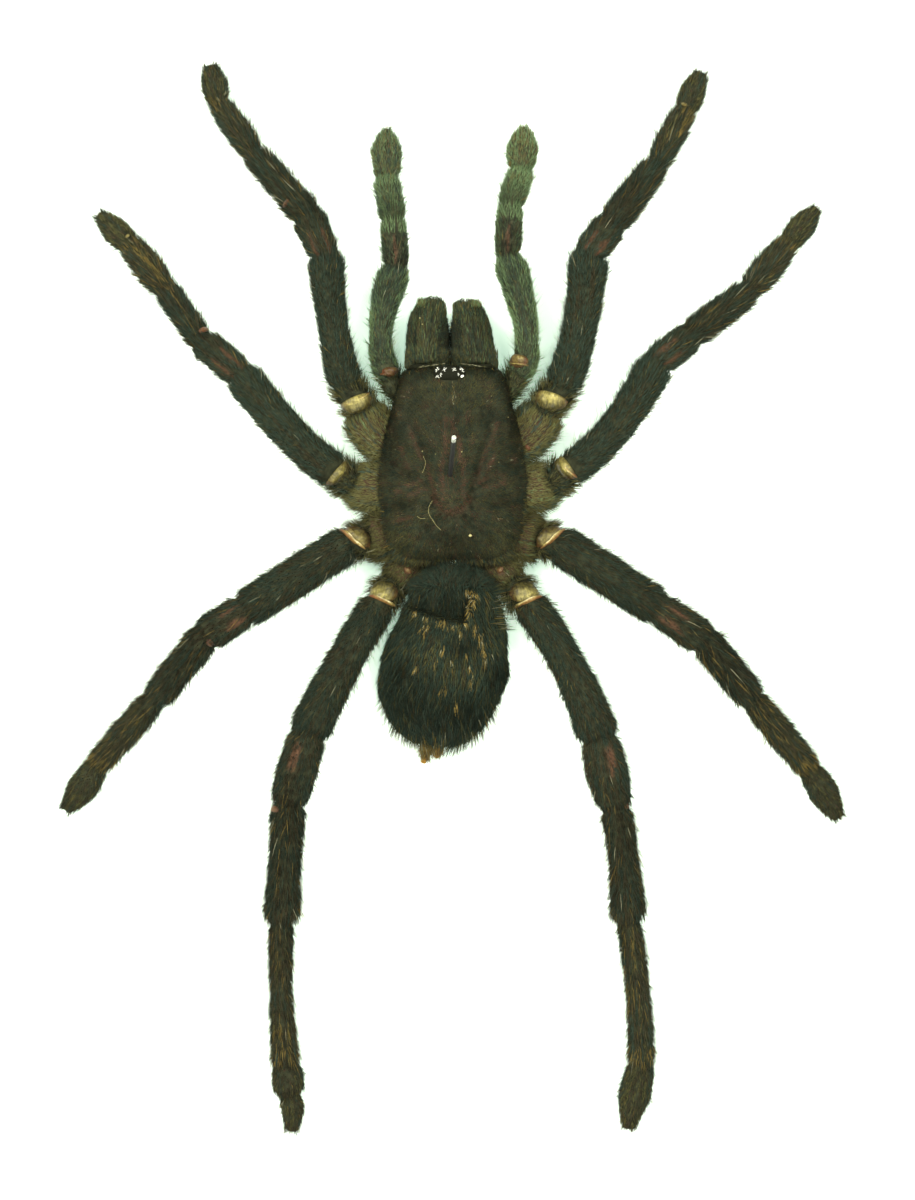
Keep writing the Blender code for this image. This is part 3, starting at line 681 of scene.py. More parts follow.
# Each limb starts at its root beside the sternum. A row then gives, for each segment in turn, the
# place of its outer joint, its width at the start, middle and end, and a point on any bend.
PALP_SEGMENTS = ("coxa", "trochanter", "femur", "patella", "tibia", "tarsus")
LEG_SEGMENTS = ("coxa", "trochanter", "femur", "patella", "tibia", "metatarsus", "tarsus", "tarsus")
LIMBS = {
    "palp_left": ((-2.7, 23.2, 2.5), (
        ((-7.0, 26.2, 2.7), (2.6, 2.9, 3.2)),
        ((-8.3, 29.1, 3.8), (3.2, 3.5, 3.5)),
        ((-7.3, 42.9, 6.6), (3.8, 3.1, 4.6), (-9.3, 34.6, 5.6)),
        ((-7.7, 49.0, 6.4), (3.6, 3.6, 3.7)),
        ((-8.6, 54.6, 3.2), (3.6, 3.7, 3.5)),
        ((-8.6, 61.1, 1.4), (3.4, 4.4, 2.9)),
    )),
    "palp_right": ((2.7, 23.2, 2.5), (
        ((7.0, 26.3, 2.7), (2.6, 2.9, 3.2)),
        ((8.6, 29.4, 3.8), (3.2, 3.6, 3.6)),
        ((7.1, 44.4, 6.6), (3.9, 3.2, 4.5), (9.6, 34.6, 5.6)),
        ((7.5, 50.9, 6.4), (3.6, 3.6, 3.8)),
        ((8.9, 55.6, 3.2), (3.7, 3.7, 3.6)),
        ((9.3, 61.4, 1.4), (3.6, 4.4, 2.9)),
    )),
    "leg_1_left": ((-3.9, 19.6, 2.5), (
        ((-11.7, 24.3, 3.1), (3.0, 5.2, 5.0), (-8.6, 20.5, 2.6)),
        ((-13.9, 27.8, 4.4), (5.0, 4.9, 4.8)),
        ((-16.4, 44.2, 8.8), (5.0, 4.1, 5.1), (-15.5, 35.6, 7.0)),
        ((-18.8, 49.6, 8.8), (4.5, 4.4, 5.0)),
        ((-25.8, 57.7, 4.8), (4.6, 4.1, 4.0)),
        ((-30.5, 64.5, 2.1), (3.4, 3.9, 3.3)),
        ((-31.5, 69.4, 1.4), (3.2, 3.9, 2.3)),
    )),
    "leg_1_right": ((3.9, 19.6, 2.5), (
        ((11.8, 24.3, 3.1), (3.0, 5.2, 5.0), (8.6, 20.5, 2.6)),
        ((14.3, 27.6, 4.4), (5.0, 5.0, 5.0)),
        ((17.6, 44.4, 8.8), (5.2, 4.7, 5.4), (16.5, 35.2, 7.0)),
        ((20.6, 48.4, 8.8), (4.6, 4.6, 4.9)),
        ((26.5, 56.2, 4.8), (4.6, 4.4, 4.0)),
        ((30.3, 63.5, 2.1), (3.4, 3.9, 3.4)),
        ((32.4, 68.5, 1.4), (3.3, 3.8, 2.3)),
    )),
    "leg_2_left": ((-4.2, 15.2, 2.5), (
        ((-13.0, 14.9, 3.1), (3.0, 5.4, 5.0), (-8.8, 14.4, 2.6)),
        ((-15.3, 16.5, 4.3), (5.0, 4.9, 4.9)),
        ((-27.5, 29.0, 8.8), (5.1, 4.8, 5.1), (-20.5, 20.8, 7.0)),
        ((-32.4, 33.2, 8.6), (4.4, 4.4, 4.6)),
        ((-37.2, 40.0, 5.0), (4.0, 3.8, 3.9)),
        ((-42.0, 46.0, 2.2), (3.7, 4.2, 3.6)),
        ((-46.1, 50.0, 1.4), (3.5, 3.8, 2.2)),
    )),
    "leg_2_right": ((4.2, 15.2, 2.5), (
        ((12.9, 14.9, 3.1), (3.0, 5.4, 5.0), (8.8, 14.4, 2.6)),
        ((15.2, 16.8, 4.3), (5.0, 4.9, 4.8)),
        ((26.5, 30.5, 8.8), (4.9, 4.7, 5.1), (20.9, 21.8, 7.0)),
        ((30.9, 34.0, 8.6), (4.6, 4.5, 4.6)),
        ((38.4, 39.8, 5.0), (4.4, 4.3, 4.1)),
        ((43.7, 46.2, 2.2), (3.7, 4.4, 3.5)),
        ((47.5, 50.8, 1.4), (3.4, 3.8, 2.2)),
    )),
    "leg_3_left": ((-3.9, 11.0, 2.5), (
        ((-11.2, 7.7, 3.1), (3.0, 5.1, 5.2), (-7.8, 8.7, 2.6)),
        ((-13.5, 7.2, 4.3), (5.2, 5.2, 5.2)),
        ((-26.8, -1.5, 7.8), (5.4, 5.4, 5.4)),
        ((-31.9, -4.8, 7.8), (4.9, 4.9, 5.2)),
        ((-38.6, -13.0, 4.5), (4.8, 4.5, 4.4)),
        ((-46.3, -21.7, 2.2), (3.7, 4.2, 3.6)),
        ((-50.5, -27.6, 1.4), (3.5, 4.4, 2.3), (-48.2, -24.7, 1.7)),
    )),
    "leg_3_right": ((3.9, 11.0, 2.5), (
        ((11.4, 7.7, 3.1), (3.0, 5.1, 5.2), (7.8, 8.7, 2.6)),
        ((13.6, 7.2, 4.3), (5.2, 5.2, 5.2)),
        ((26.6, -1.3, 7.8), (5.4, 5.5, 5.2)),
        ((32.6, -5.4, 7.8), (4.9, 4.8, 5.0)),
        ((38.9, -13.0, 4.5), (4.8, 4.5, 4.6)),
        ((46.5, -22.3, 2.2), (3.7, 4.2, 3.6)),
        ((50.4, -28.6, 1.4), (3.4, 4.3, 2.3)),
    )),
    "leg_4_left": ((-2.1, 7.4, 2.5), (
        ((-7.5, 2.0, 3.0), (2.8, 4.2, 4.6)),
        ((-9.4, -0.6, 4.2), (4.6, 4.8, 4.8)),
        ((-18.7, -17.5, 7.0), (5.0, 5.0, 5.8), (-13.8, -7.9, 6.2)),
        ((-21.3, -26.6, 6.8), (5.2, 5.5, 5.2)),
        ((-22.2, -42.0, 4.2), (5.0, 4.5, 5.2)),
        ((-21.7, -60.6, 2.3), (3.6, 3.3, 4.0), (-22.3, -51.5, 3.4)),
        ((-21.2, -64.7, 1.9), (4.2, 4.5, 4.4)),
        ((-21.1, -69.4, 1.4), (3.4, 3.3, 2.2), (-20.8, -67.0, 1.7)),
    )),
    "leg_4_right": ((2.1, 7.4, 2.5), (
        ((7.6, 2.0, 3.0), (2.8, 4.2, 4.6)),
        ((9.8, -0.6, 4.2), (4.6, 4.8, 4.8)),
        ((19.0, -18.0, 7.0), (5.0, 4.8, 5.8), (14.9, -8.5, 6.2)),
        ((21.1, -27.1, 6.8), (5.1, 5.8, 4.8)),
        ((22.8, -41.8, 4.2), (4.5, 4.3, 5.2), (22.3, -34.5, 5.6)),
        ((24.6, -60.6, 2.3), (3.6, 3.5, 3.9), (24.1, -51.0, 3.4)),
        ((22.9, -69.1, 1.4), (4.0, 4.5, 2.3)),
    )),
}

# Fur of a segment: hairs for each square millimetre, their length, how many degrees they lean off
# the skin, shares of the hair colours on its back and at its sides, the sides' teal on the legs and
# sage on the palps being partly a painted rim light, tone (0 dark to 1 pale) at its start, middle
# and end, and how much the tone varies
Coat = namedtuple("Coat", "density length lean back side tones spread")
LEG_COATS = {
    # A leg base begins dark beside the shield: painted shade under the shield's edge
    "coxa": Coat(38.0, 0.65, 20, {"olive": 0.92, "sage": 0.04, "brown": 0.04}, {"olive": 0.8, "teal": 0.2},
                 (0.14, 0.70, 0.66), 0.06),
    "trochanter": Coat(15.0, 1.0, 32, {"olive": 0.6, "brown": 0.3, "teal": 0.1}, {"teal": 0.4, "olive": 0.6},
                       (0.46, 0.42, 0.36), 0.09),
    "femur": Coat(16.0, 1.2, 18, {"teal": 0.80, "brown": 0.20}, {"teal": 1.0}, (0.38, 0.42, 0.37), 0.08),
    "patella": Coat(15.0, 1.1, 18, {"brown": 0.60, "teal": 0.40}, {"teal": 0.85, "brown": 0.15},
                    (0.44, 0.38, 0.22), 0.09),
    "tibia": Coat(15.0, 1.3, 20, {"brown": 0.5, "teal": 0.48, "gold": 0.02}, {"teal": 0.85, "brown": 0.15},
                  (0.21, 0.26, 0.32), 0.11),
    "metatarsus": Coat(16.0, 1.2, 20, {"brown": 0.66, "teal": 0.12, "olive": 0.14, "gold": 0.08},
                       {"teal": 0.5, "brown": 0.4, "olive": 0.1}, (0.34, 0.43, 0.50), 0.10),
    "tarsus": Coat(23.0, 0.7, 26, {"brown": 0.58, "olive": 0.38, "red": 0.04},
                   {"teal": 0.4, "olive": 0.4, "brown": 0.2}, (0.36, 0.44, 0.42), 0.09),
}
PALP_COATS = {
    "coxa": Coat(18.0, 0.8, 32, {"olive": 0.8, "brown": 0.2}, {"olive": 0.7, "teal": 0.3},
                 (0.42, 0.50, 0.50), 0.08),
    "trochanter": Coat(17.0, 0.9, 30, {"olive": 0.6, "brown": 0.4}, {"teal": 0.4, "olive": 0.6},
                       (0.46, 0.50, 0.46), 0.09),
    "femur": Coat(27.0, 0.9, 16, {"teal": 0.55, "sage": 0.3, "brown": 0.15}, {"sage": 1.0},
                  (0.62, 0.78, 0.76), 0.05),
    "patella": Coat(27.0, 0.9, 18, {"brown": 0.6, "teal": 0.4}, {"sage": 0.5, "teal": 0.3, "brown": 0.2},
                    (0.14, 0.36, 0.72), 0.06),
    "tibia": Coat(27.0, 0.9, 18, {"sage": 0.7, "olive": 0.3}, {"sage": 1.0}, (0.12, 0.66, 0.78), 0.05),
    "tarsus": Coat(34.0, 0.7, 24, {"sage": 0.36, "olive": 0.54, "red": 0.10}, {"sage": 0.6, "olive": 0.4},
                   (0.56, 0.68, 0.78), 0.04),
}
# What sets a limb's hair apart: a colour with its added share, and an added tone
TINTS = {
    "palp_left": ("teal", 0.60, -0.02),
    "palp_right": ("sage", 0.55, 0.05),
    "leg_1_left": ("teal", 0.10, -0.02),
    "leg_1_right": ("teal", 0.15, 0.03),
    "leg_2_left": ("teal", 0.10, 0.0),
    "leg_2_right": ("teal", 0.05, 0.02),
    "leg_3_left": ("brown", 0.20, -0.14),
    "leg_3_right": ("brown", 0.20, -0.15),
    "leg_4_left": ("brown", 0.20, -0.17),
    "leg_4_right": ("brown", 0.20, -0.08),
}
# Bristles of a segment: hairs for each square millimetre, length, lean, and share that are gold
Bristles = namedtuple("Bristles", "density length lean gold")
BRISTLES = {
    "coxa": Bristles(0.4, 1.0, 50, 0.1),
    "trochanter": Bristles(2.6, 1.3, 48, 0.1),
    "femur": Bristles(2.2, 1.2, 38, 0.06),
    "patella": Bristles(2.2, 1.3, 34, 0.12),
    "tibia": Bristles(2.6, 2.0, 24, 0.07),
    "metatarsus": Bristles(2.8, 2.1, 22, 0.15),
    "tarsus": Bristles(2.2, 0.8, 30, 0.08),
}
PALP_BRISTLE_SHARE = 0.6
FUZZ_DENSITY = 7.5  # hairs for each square millimetre of a limb's sides
# Long fine hairs: hairs for each square millimetre, length and lean
WHISKERS = {
    "coxa": (1.0, 1.7, 42),
    "trochanter": (1.2, 1.8, 40),
    "femur": (0.80, 2.1, 32),
    "patella": (0.35, 2.2, 18),
    "tibia": (0.60, 2.9, 14),
    "metatarsus": (0.55, 2.5, 16),
    "tarsus": (0.30, 1.3, 26),
}
BASE_PALENESS = 0.55  # how far the shell of the leg bases takes the tint of bare skin
# Palp backs darker than their sides: the lighter sides are a painted rim light
CORE_SHADE = 0.25  # how much darker the hair on a palp's back is than at its sides
REAR_BASE_SHADE = 0.16  # how much darker the bases of the two rear pairs of legs are
PLUMP_FLANK = 0.9  # how much longer the hair at the sides of the leg bases is
TIP_RINGS = 3  # rings at the tip whose hair fans out
UNDERSIDE_SHARE = 0.25  # hairs kept under a limb, over those on its back
LEG_FRINGE_FROM = 0.86  # place in a segment where its outer fringe begins
PALP_FRINGE_FROM = 0.70
FRINGE_LENGTH = 1.3  # hair of that fringe, over the rest of the segment
# Colour of the fringe, its share of the hairs there, and its tone
FRINGES = {
    "leg": {"tibia": ("brown", 0.18, 0.45), "metatarsus": ("gold", 0.26, 0.42)},
    "palp": {"femur": ("teal", 0.3, 0.30), "patella": ("sage", 0.65, 0.70), "tibia": ("sage", 0.5, 0.74)},
}
# Bald stripes on a patella, two on a leg and one on a palp: distance of a leg's from the middle
# line, half width, and reach along it
STRIPE_OFFSET = 0.85
STRIPE_HALF_WIDTH = 0.34
STRIPE_SPAN = (0.04, 0.66)
STRIPE_BARENESS = 0.62  # share of the hairs that a stripe has lost

# Dried membranes on the back of the leg bases: middle of the dome, the two ends of its fold, which
# is painted bright as a highlight, half size of the dome along the limb, brightness of dome and
# fold, painted highlights included, and redness of the dome
Membrane = namedtuple("Membrane", "centre fold_from fold_to half_along glow fold_glow redness")
MEMBRANES = {
    "leg_1_left": Membrane((-12.6, 25.6), (-14.8, 25.1), (-10.4, 26.9), 1.15, 0.56, 0.80, 0.0),
    "leg_1_right": Membrane((13.0, 26.0), (10.9, 26.8), (15.2, 25.6), 1.20, 0.60, 0.84, 0.0),
    "leg_2_left": Membrane((-15.3, 16.5), (-16.9, 14.9), (-13.9, 18.2), 0.95, 0.44, 0.88, 0.0),
    "leg_2_right": Membrane((14.9, 17.3), (13.7, 18.8), (16.7, 15.9), 1.00, 0.50, 0.90, 0.0),
    "leg_3_left": Membrane((-12.7, 7.9), (-14.7, 9.0), (-12.0, 6.2), 0.95, 0.38, 0.92, 0.05),
    "leg_3_right": Membrane((12.9, 7.9), (12.1, 6.2), (14.7, 9.0), 0.95, 0.38, 0.88, 0.05),
    "leg_4_left": Membrane((-9.3, 0.6), (-11.2, 0.2), (-7.4, -1.2), 1.35, 0.48, 0.92, 0.0),
    "leg_4_right": Membrane((9.8, 0.6), (7.7, -1.4), (11.9, 0.1), 1.35, 0.48, 0.92, 0.0),
    "palp_left": Membrane((-8.3, 29.9), (-9.6, 29.5), (-7.4, 29.5), 0.60, 0.16, 0.30, 0.25),
    "palp_right": Membrane((8.7, 31.2), (7.4, 30.7), (10.0, 30.7), 0.75, 0.42, 0.62, 0.20),
}
DOME_HEIGHT = 0.5
FOLD_HALF_ALONG = 0.24
FOLD_HEIGHT = 0.42
MEMBRANE_REACH = 0.93  # sine of the farthest angle that a membrane reaches down a side

# Small bare patches: limb, middle, half sizes across and along it, glow and redness
PATCHES = (
    ("leg_1_left", (-21.2, 50.7), 0.55, 0.25, 0.12, 0.35),
    ("leg_2_left", (-31.9, 34.4), 0.70, 0.30, 0.22, 0.5),
    ("leg_3_left", (-31.2, -5.6), 0.55, 0.25, 0.12, 0.35),
    ("leg_4_left", (-23.2, -27.2), 0.75, 0.36, 0.22, 0.4),
    ("leg_4_right", (22.8, -26.8), 0.60, 0.36, 0.20, 0.4),
    ("leg_4_left", (-5.9, 3.5), 0.55, 0.42, 0.30, 0.35),
    ("leg_4_right", (6.3, 3.6), 0.50, 0.40, 0.26, 0.35),
    ("leg_1_right", (9.9, 19.6), 0.45, 0.35, 0.10, 0.6),
    ("leg_2_left", (-39.2, 45.6), 0.40, 0.55, 0.25, 0.4),
    ("leg_2_left", (-42.2, 47.0), 0.28, 0.20, 0.66, 0.1),
    ("leg_1_right", (30.1, 64.1), 0.45, 0.28, 0.50, 0.1),
)


class Limb:
    """A limb's skin, with the segment and the place in it that each ring belongs to."""

    def __init__(self, name):
        root, segments = LIMBS[name]
        self.name = name
        self.is_palp = name.startswith("palp")
        self.slot = "palp_fur" if self.is_palp else "leg_fur"
        self.seed = sum(ord(letter) for letter in name)
        table = PALP_COATS if self.is_palp else LEG_COATS
        kinds, places, centres, widths, gaps = [], [], [], [], []
        start = np.array(root)
        order = PALP_SEGMENTS if self.is_palp else LEG_SEGMENTS
        for number, (kind, (end, sizes, *bend)) in enumerate(zip(order, segments)):
            end = np.array(end)
            bend = np.array(bend[0]) if bend else None
            length = np.linalg.norm(end - start)
            steps = max(4, round(length / RING_STEP))
            is_last = number == len(segments) - 1
            for step in range(steps + is_last):
                place = step / steps
                width = np.interp(place, (0.0, 0.5, 1.0), sizes)
                if is_last:
                    tip_from, narrowing = PALP_TIP if self.is_palp else LEG_TIP
                    width *= math.sqrt(1 - narrowing * max(0.0, (place - tip_from) / (1 - tip_from)) ** 2)
                if kind == "coxa" and not self.is_palp:
                    width *= COXA_SWELL
                if number == 0:
                    width *= ROOT_TAPER + (1 - ROOT_TAPER) * min(1.0, place * 4)
                inner = math.inf if number == 0 else place * length
                outer = math.inf if is_last else (1 - place) * length
                kinds.append(kind)
                places.append(place)
                centres.append(through(start, bend, end, place))
                widths.append(width)
                gaps.append(min(inner, outer))
            start = end
        self.kinds = np.array(kinds)
        self.places = np.array(places)
        self.centres = np.array(centres)
        self.coats = [table[kind] for kind in kinds]
        self.length = np.linalg.norm(np.diff(self.centres, axis=0), axis=1).sum()
        depths = 0.8 * self.values("length") * np.sin(np.radians(self.values("lean")))
        groove = 1 - (1 - JOINT_NECK) * np.exp(-(np.array(gaps) / JOINT_REACH) ** 2)
        self.half_widths = smoothed(np.array(widths)) * groove / 2 - smoothed(depths)
        half_heights = self.half_widths * smoothed(np.array([FLATNESS[kind] for kind in kinds]))
        ways = np.gradient(self.centres, axis=0)
        for _ in range(TURN_SMOOTHING):
            ways = smoothed(unit(ways))
        points = rings_round(self.centres, ways, self.half_widths, half_heights, LIMB_SIDES)
        bulge = 0.05 * wobble(points, 1.3, self.seed) + 0.03 * wobble(points, 0.5, self.seed + 1)
        points = points + unit(points - self.centres[:, None, :]) * bulge[:, :, None]
        points[:, :, 2] = np.maximum(points[:, :, 2], SKIN_GAP)
        self.surface = Surface(points)

    def values(self, field):
        """A number of the coat at each ring."""
        return np.array([getattr(coat, field) for coat in self.coats])

    def angles(self):
        """Distance round each ring from its top line, in turns from -0.5 to 0.5."""
        turns = np.arange(LIMB_SIDES) / LIMB_SIDES
        return np.where(turns > 0.5, turns - 1.0, turns)

    def bald(self):
        """How bare each point is, from 0 to 1: the stripes on the patella."""
        across = np.sin(self.angles() * math.tau)[None, :] * self.half_widths[:, None]
        on_top = (np.abs(self.angles()) < 0.25)[None, :]
        narrow = STRIPE_HALF_WIDTH * (1 + 0.25 * np.sign(across) * (-1) ** self.seed)
        first, last = STRIPE_SPAN
        along = np.abs(self.places - (first + last) / 2) / ((last - first) / 2)
        offset = 0.0 if self.is_palp else STRIPE_OFFSET
        oval = (np.abs(np.abs(across) - offset) / narrow) ** 2 + along[:, None] ** 2
        return np.clip((1 - oval) * 2.5, 0, 1) * (self.kinds == "patella")[:, None] * on_top

    def ring_at(self, u):
        """Number of the ring nearest to each fraction along the skin."""
        return np.rint(u * (len(self.kinds) - 1)).astype(int)

    def locate(self, plan):
        """Fractions along and round the skin of places in the plan view."""
        gaps = np.linalg.norm(self.centres[None, :, :2] - plan[:, None, :], axis=-1)
        ring = np.clip(gaps.argmin(axis=1), 1, len(self.centres) - 2)
        run = self.centres[ring + 1, :2] - self.centres[ring - 1, :2]
        way = unit(run)
        offset = plan - self.centres[ring, :2]
        ahead = (offset * way).sum(axis=-1) / (np.linalg.norm(run, axis=-1) / 2)
        left = offset[:, 1] * way[:, 0] - offset[:, 0] * way[:, 1]
        u = (ring + ahead) / (len(self.centres) - 1)
        sine = np.clip(left / self.half_widths[ring], -MEMBRANE_REACH, MEMBRANE_REACH)
        return u, np.arcsin(sine) / math.tau

    def way_at(self, place):
        """Direction of the limb in the plan view at its nearest point."""
        ring = np.linalg.norm(self.centres[:, :2] - place, axis=1).argmin()
        ring = min(max(ring, 1), len(self.centres) - 2)
        return unit(self.centres[ring + 1, :2] - self.centres[ring - 1, :2])

    def bare(self):
        """Which points of the skin its membrane and its patches cover."""
        plan = self.surface.points[:, :, :2]
        covered = np.zeros(plan.shape[:2], bool)
        for centre, across, half_across, half_along in self.covers():
            offset = plan - np.array(centre)
            along = np.array((-across[1], across[0]))
            size = ((offset @ across) / half_across) ** 2 + ((offset @ along) / half_along) ** 2
            covered |= size < 0.85
        return covered & (np.abs(self.angles()) < 0.27)[None, :]

    def covers(self):
        """Middle, direction across and half sizes of each lens on the limb."""
        lenses = []
        if self.name in MEMBRANES:
            membrane = MEMBRANES[self.name]
            fold = np.subtract(membrane.fold_to, membrane.fold_from)
            lenses.append((membrane.centre, unit(fold), np.linalg.norm(fold) * 0.48, membrane.half_along))
        for limb, centre, half_across, half_along, _, _ in PATCHES:
            if limb == self.name:
                way = self.way_at(np.array(centre))
                lenses.append((centre, np.array((-way[1], way[0])), half_across, half_along))
        return lenses


def make_limb_skin(limb):
    if limb.is_palp:
        shell = shared("palp_chitin", chitin_material, 1.6, 0.5)
    else:
        shell = leg_chitin()
    at_base = BASE_PALENESS * (limb.kinds == "coxa")[:, None]
    skin_piece(f"skin_{limb.name}", limb.surface.points, shell, (limb.name,),
               {"bald": np.maximum(limb.bald(), at_base)})


def grow_limb_fur(limb):
    """Underfur, bristles and long hairs that lie towards the limb's tip."""
    fur = Fur(limb.seed)
    turns = np.abs(limb.angles())[None, :]
    above = UNDERSIDE_SHARE + (1 - UNDERSIDE_SHARE) * np.clip((0.40 - turns) / 0.08, 0, 1)
    clear = above * (1 - STRIPE_BARENESS * limb.bald()) * ~limb.bare() * (limb.surface.points[:, :, 2] > 0.2)
    add_underfur(limb, fur, clear)
    add_bristles(limb, fur, clear)
    add_fuzz(limb, fur, clear)
    add_whiskers(limb, fur, clear)
    material = shared("palp_hair", hair_material, 0.55, 0.08) if limb.is_palp else leg_hair()
    fur.build(f"fur_{limb.name}", material)


def add_underfur(limb, fur, clear):
    rng = fur.rng
    u, v = fur.scatter(limb.surface, limb.values("density")[:, None] * clear)
    count = len(u)
    ring = limb.ring_at(u)
    kind_at = limb.kinds[ring]
    angle = v * math.tau
    side = np.where(np.cos(angle) < 0, 1.0, np.sin(angle) ** 2)
    weights = {}
    for name in HAIR_COLOURS:
        back = np.array([coat.back.get(name, 0.0) for coat in limb.coats])[ring]
        flank = np.array([coat.side.get(name, 0.0) for coat in limb.coats])[ring]
        weights[name] = back * (1 - side) + flank * side
    tint, share, lift = TINTS[limb.name]
    # Sage goes to the sides only, where it is partly a painted rim light
    weights[tint] = weights[tint] + share * (side if tint == "sage" else 1.0)
    across = np.sin(angle) * limb.half_widths[ring]
    strand = np.stack((u * limb.length * 0.07, across, np.cos(angle)), axis=-1)
    grouping = 0.35 if limb.is_palp else 1.0
    colours = pick(weights, grouping * wobble(strand, 0.30, limb.seed + 5) + rng.normal(0, 0.5, count))
    tones = [np.interp(place, (0.0, 0.5, 1.0), coat.tones) for place, coat in zip(limb.places, limb.coats)]
    spread = limb.values("spread")[ring]
    last = len(limb.coats) - 1
    flank = side * np.isin(kind_at, ("coxa", "trochanter"))
    tip = np.clip((ring - last + TIP_RINGS) / TIP_RINGS, 0, 1)
    leans = limb.values("lean")[ring] + 10 * flank + 22 * tip
    roots, lie, _ = limb.surface.lay(u, v, leans, rng, 0.15)
    uneven_tone = 0.6 * wobble(strand, 0.22, limb.seed + 6) + rng.normal(0, 0.9, count)
    tones = np.array(tones)[ring] + lift + spread * uneven_tone
    if limb.name[:5] in ("leg_3", "leg_4"):
        tones = tones - REAR_BASE_SHADE * (kind_at == "coxa")
    if limb.is_palp:
        tones = tones - CORE_SHADE * (1 - side) * np.isin(kind_at, ("femur", "patella"))
    lengths = limb.values("length")[ring] * rng.uniform(0.7, 1.15, count) * (1 + PLUMP_FLANK * flank)
    in_fringe = limb.places[ring] > (PALP_FRINGE_FROM if limb.is_palp else LEG_FRINGE_FROM)
    lengths = np.where(in_fringe, lengths * FRINGE_LENGTH, lengths)
    for kind, (name, share, tone) in FRINGES["palp" if limb.is_palp else "leg"].items():
        chosen = in_fringe & (kind_at == kind) & (rng.random(count) < share)
        colours = np.where(chosen, HAIR_COLOURS.index(name), colours)
        tones = np.where(chosen, tone + rng.normal(0, 0.12, count), tones)
    width = fur.fine * (0.7 if limb.is_palp else 0.9)
    fur.add(roots, lie, lengths, width, colours, tones)


def add_bristles(limb, fur, clear):
    rng = fur.rng
    rows = np.array([BRISTLES[kind] for kind in limb.kinds])
    share = PALP_BRISTLE_SHARE if limb.is_palp else 1.0
    u, v = fur.scatter(limb.surface, rows[:, :1] * clear * share)
    count = len(u)
    ring = limb.ring_at(u)
    _, lengths, leans, gold = rows[ring].T
    roots, lie, _ = limb.surface.lay(u, v, leans, rng, 0.2)
    dark = rng.choice([HAIR_COLOURS.index("teal"), HAIR_COLOURS.index("brown")], count)
    dark = np.where(limb.kinds[ring] == "coxa", HAIR_COLOURS.index("olive"), dark)
    if limb.is_palp:
        dark = np.full(count, HAIR_COLOURS.index("sage"))
    colours = np.where(rng.random(count) < gold, HAIR_COLOURS.index("gold"), dark)
    fur.add(roots, lie, lengths * rng.uniform(0.7, 1.3, count), fur.bristle * 0.85, colours,
            rng.uniform(0.2, 0.5, count))


def add_fuzz(limb, fur, clear):
    """Short fine hairs that stand out at the sides of the limb."""
    rng = fur.rng
    flank = np.exp(-((np.abs(limb.angles()) - 0.23) / 0.06) ** 2)[None, :]
    at_base = np.isin(limb.kinds, ("coxa", "trochanter"))
    u, v = fur.scatter(limb.surface, FUZZ_DENSITY * (1 + 1.6 * at_base)[:, None] * clear * flank)
    count = len(u)
    ring = limb.ring_at(u)
    lengths = rng.uniform(0.8, 1.9, count) * (1 + 0.3 * at_base[ring])
    roots, lie, _ = limb.surface.lay(u, v, 46, rng, 0.25)
    base = 1.0 * at_base[ring]
    weights = {"teal": 0.6 * (1 - base), "brown": 0.25 + 0 * base, "olive": 0.15 + 0.6 * base}
    if limb.is_palp:
        weights = {"sage": 0.7, "olive": 0.3}
    colours = fur.draw(weights, count)
    fur.add(roots, lie, lengths, fur.bristle * 0.95, colours, rng.uniform(0.2, 0.6, count))


def add_whiskers(limb, fur, clear):
    """Long fine hairs, most of them at the sides of the limb."""
    rng = fur.rng
    share = 0.5 if limb.is_palp else 1.0
    rows = np.array([WHISKERS[kind] for kind in limb.kinds])
    flank = 0.6 + 1.8 * np.exp(-((np.abs(limb.angles()) - 0.22) / 0.07) ** 2)[None, :]
    u, v = fur.scatter(limb.surface, rows[:, :1] * clear * flank * share)
    count = len(u)
    ring = limb.ring_at(u)
    _, lengths, leans = rows[ring].T
    leans = leans + 22 * np.abs(np.sin(v * math.tau))
    roots, lie, ways = limb.surface.lay(u, v, leans, rng, 0.16)
    near_base = np.isin(limb.kinds[ring], ("coxa", "trochanter", "femur")).astype(float)
    weights = {
        "teal": 0.1 + 0.2 * near_base, "olive": 0.5 * near_base, "brown": 0.4 - 0.2 * near_base,
        "gold": 0.38 - 0.3 * near_base, "pale": 0.12,
    }
    colours = fur.draw(weights, count)
    fur.add(roots, lie, lengths * rng.uniform(0.6, 1.2, count), fur.bristle * 0.8, colours,
            rng.uniform(0.15, 0.6, count), bend_to=ways * 0.4 - (0.0, 0.0, 0.15))


# Membranes, patches and claws

def lens_piece(name, limb, centre, across, half_sizes, height, glow, redness, bow=0.0):
    """A low dome that follows the back of a limb: a flattened ball laid on its skin, with masks
    for its brightness and its redness."""
    bm = bmesh.new()
    bmesh.ops.create_uvsphere(bm, u_segments=40, v_segments=20, radius=1.0)
    ball = np.array([vert.co for vert in bm.verts])
    x, y, z = ball.T
    along = np.array((-across[1], across[0]))
    along = along * (1.0 if along @ limb.way_at(np.array(centre)) > 0 else -1.0)
    plan = np.array(centre) + np.outer(x * half_sizes[0], across) + np.outer(y * half_sizes[1], along)
    plan = plan + np.outer(bow * (1 - x ** 2), along)
    points, normals, _ = limb.surface.at(*limb.locate(plan))
    ripple = 1 + 0.3 * y + 0.10 * np.sin(9 * x + 2 * y) + 0.12 * wobble(ball, 0.4, limb.seed)
    points = points + normals * (z * height * ripple)[:, None]
    for vert, point in zip(bm.verts, points):
        vert.co = point
    layer = bm.loops.layers.uv.new("lens")
    for face in bm.faces:
        for loop in face.loops:
            index = loop.vert.index
            loop[layer].uv = (x[index] * 0.5 + 0.5, y[index] * 0.5 + 0.5)
    masks = {"glow": glow(x, y), "redness": redness(x, y)}
    finish(name, bm, shared("dried_membrane", membrane_material), (), masks)


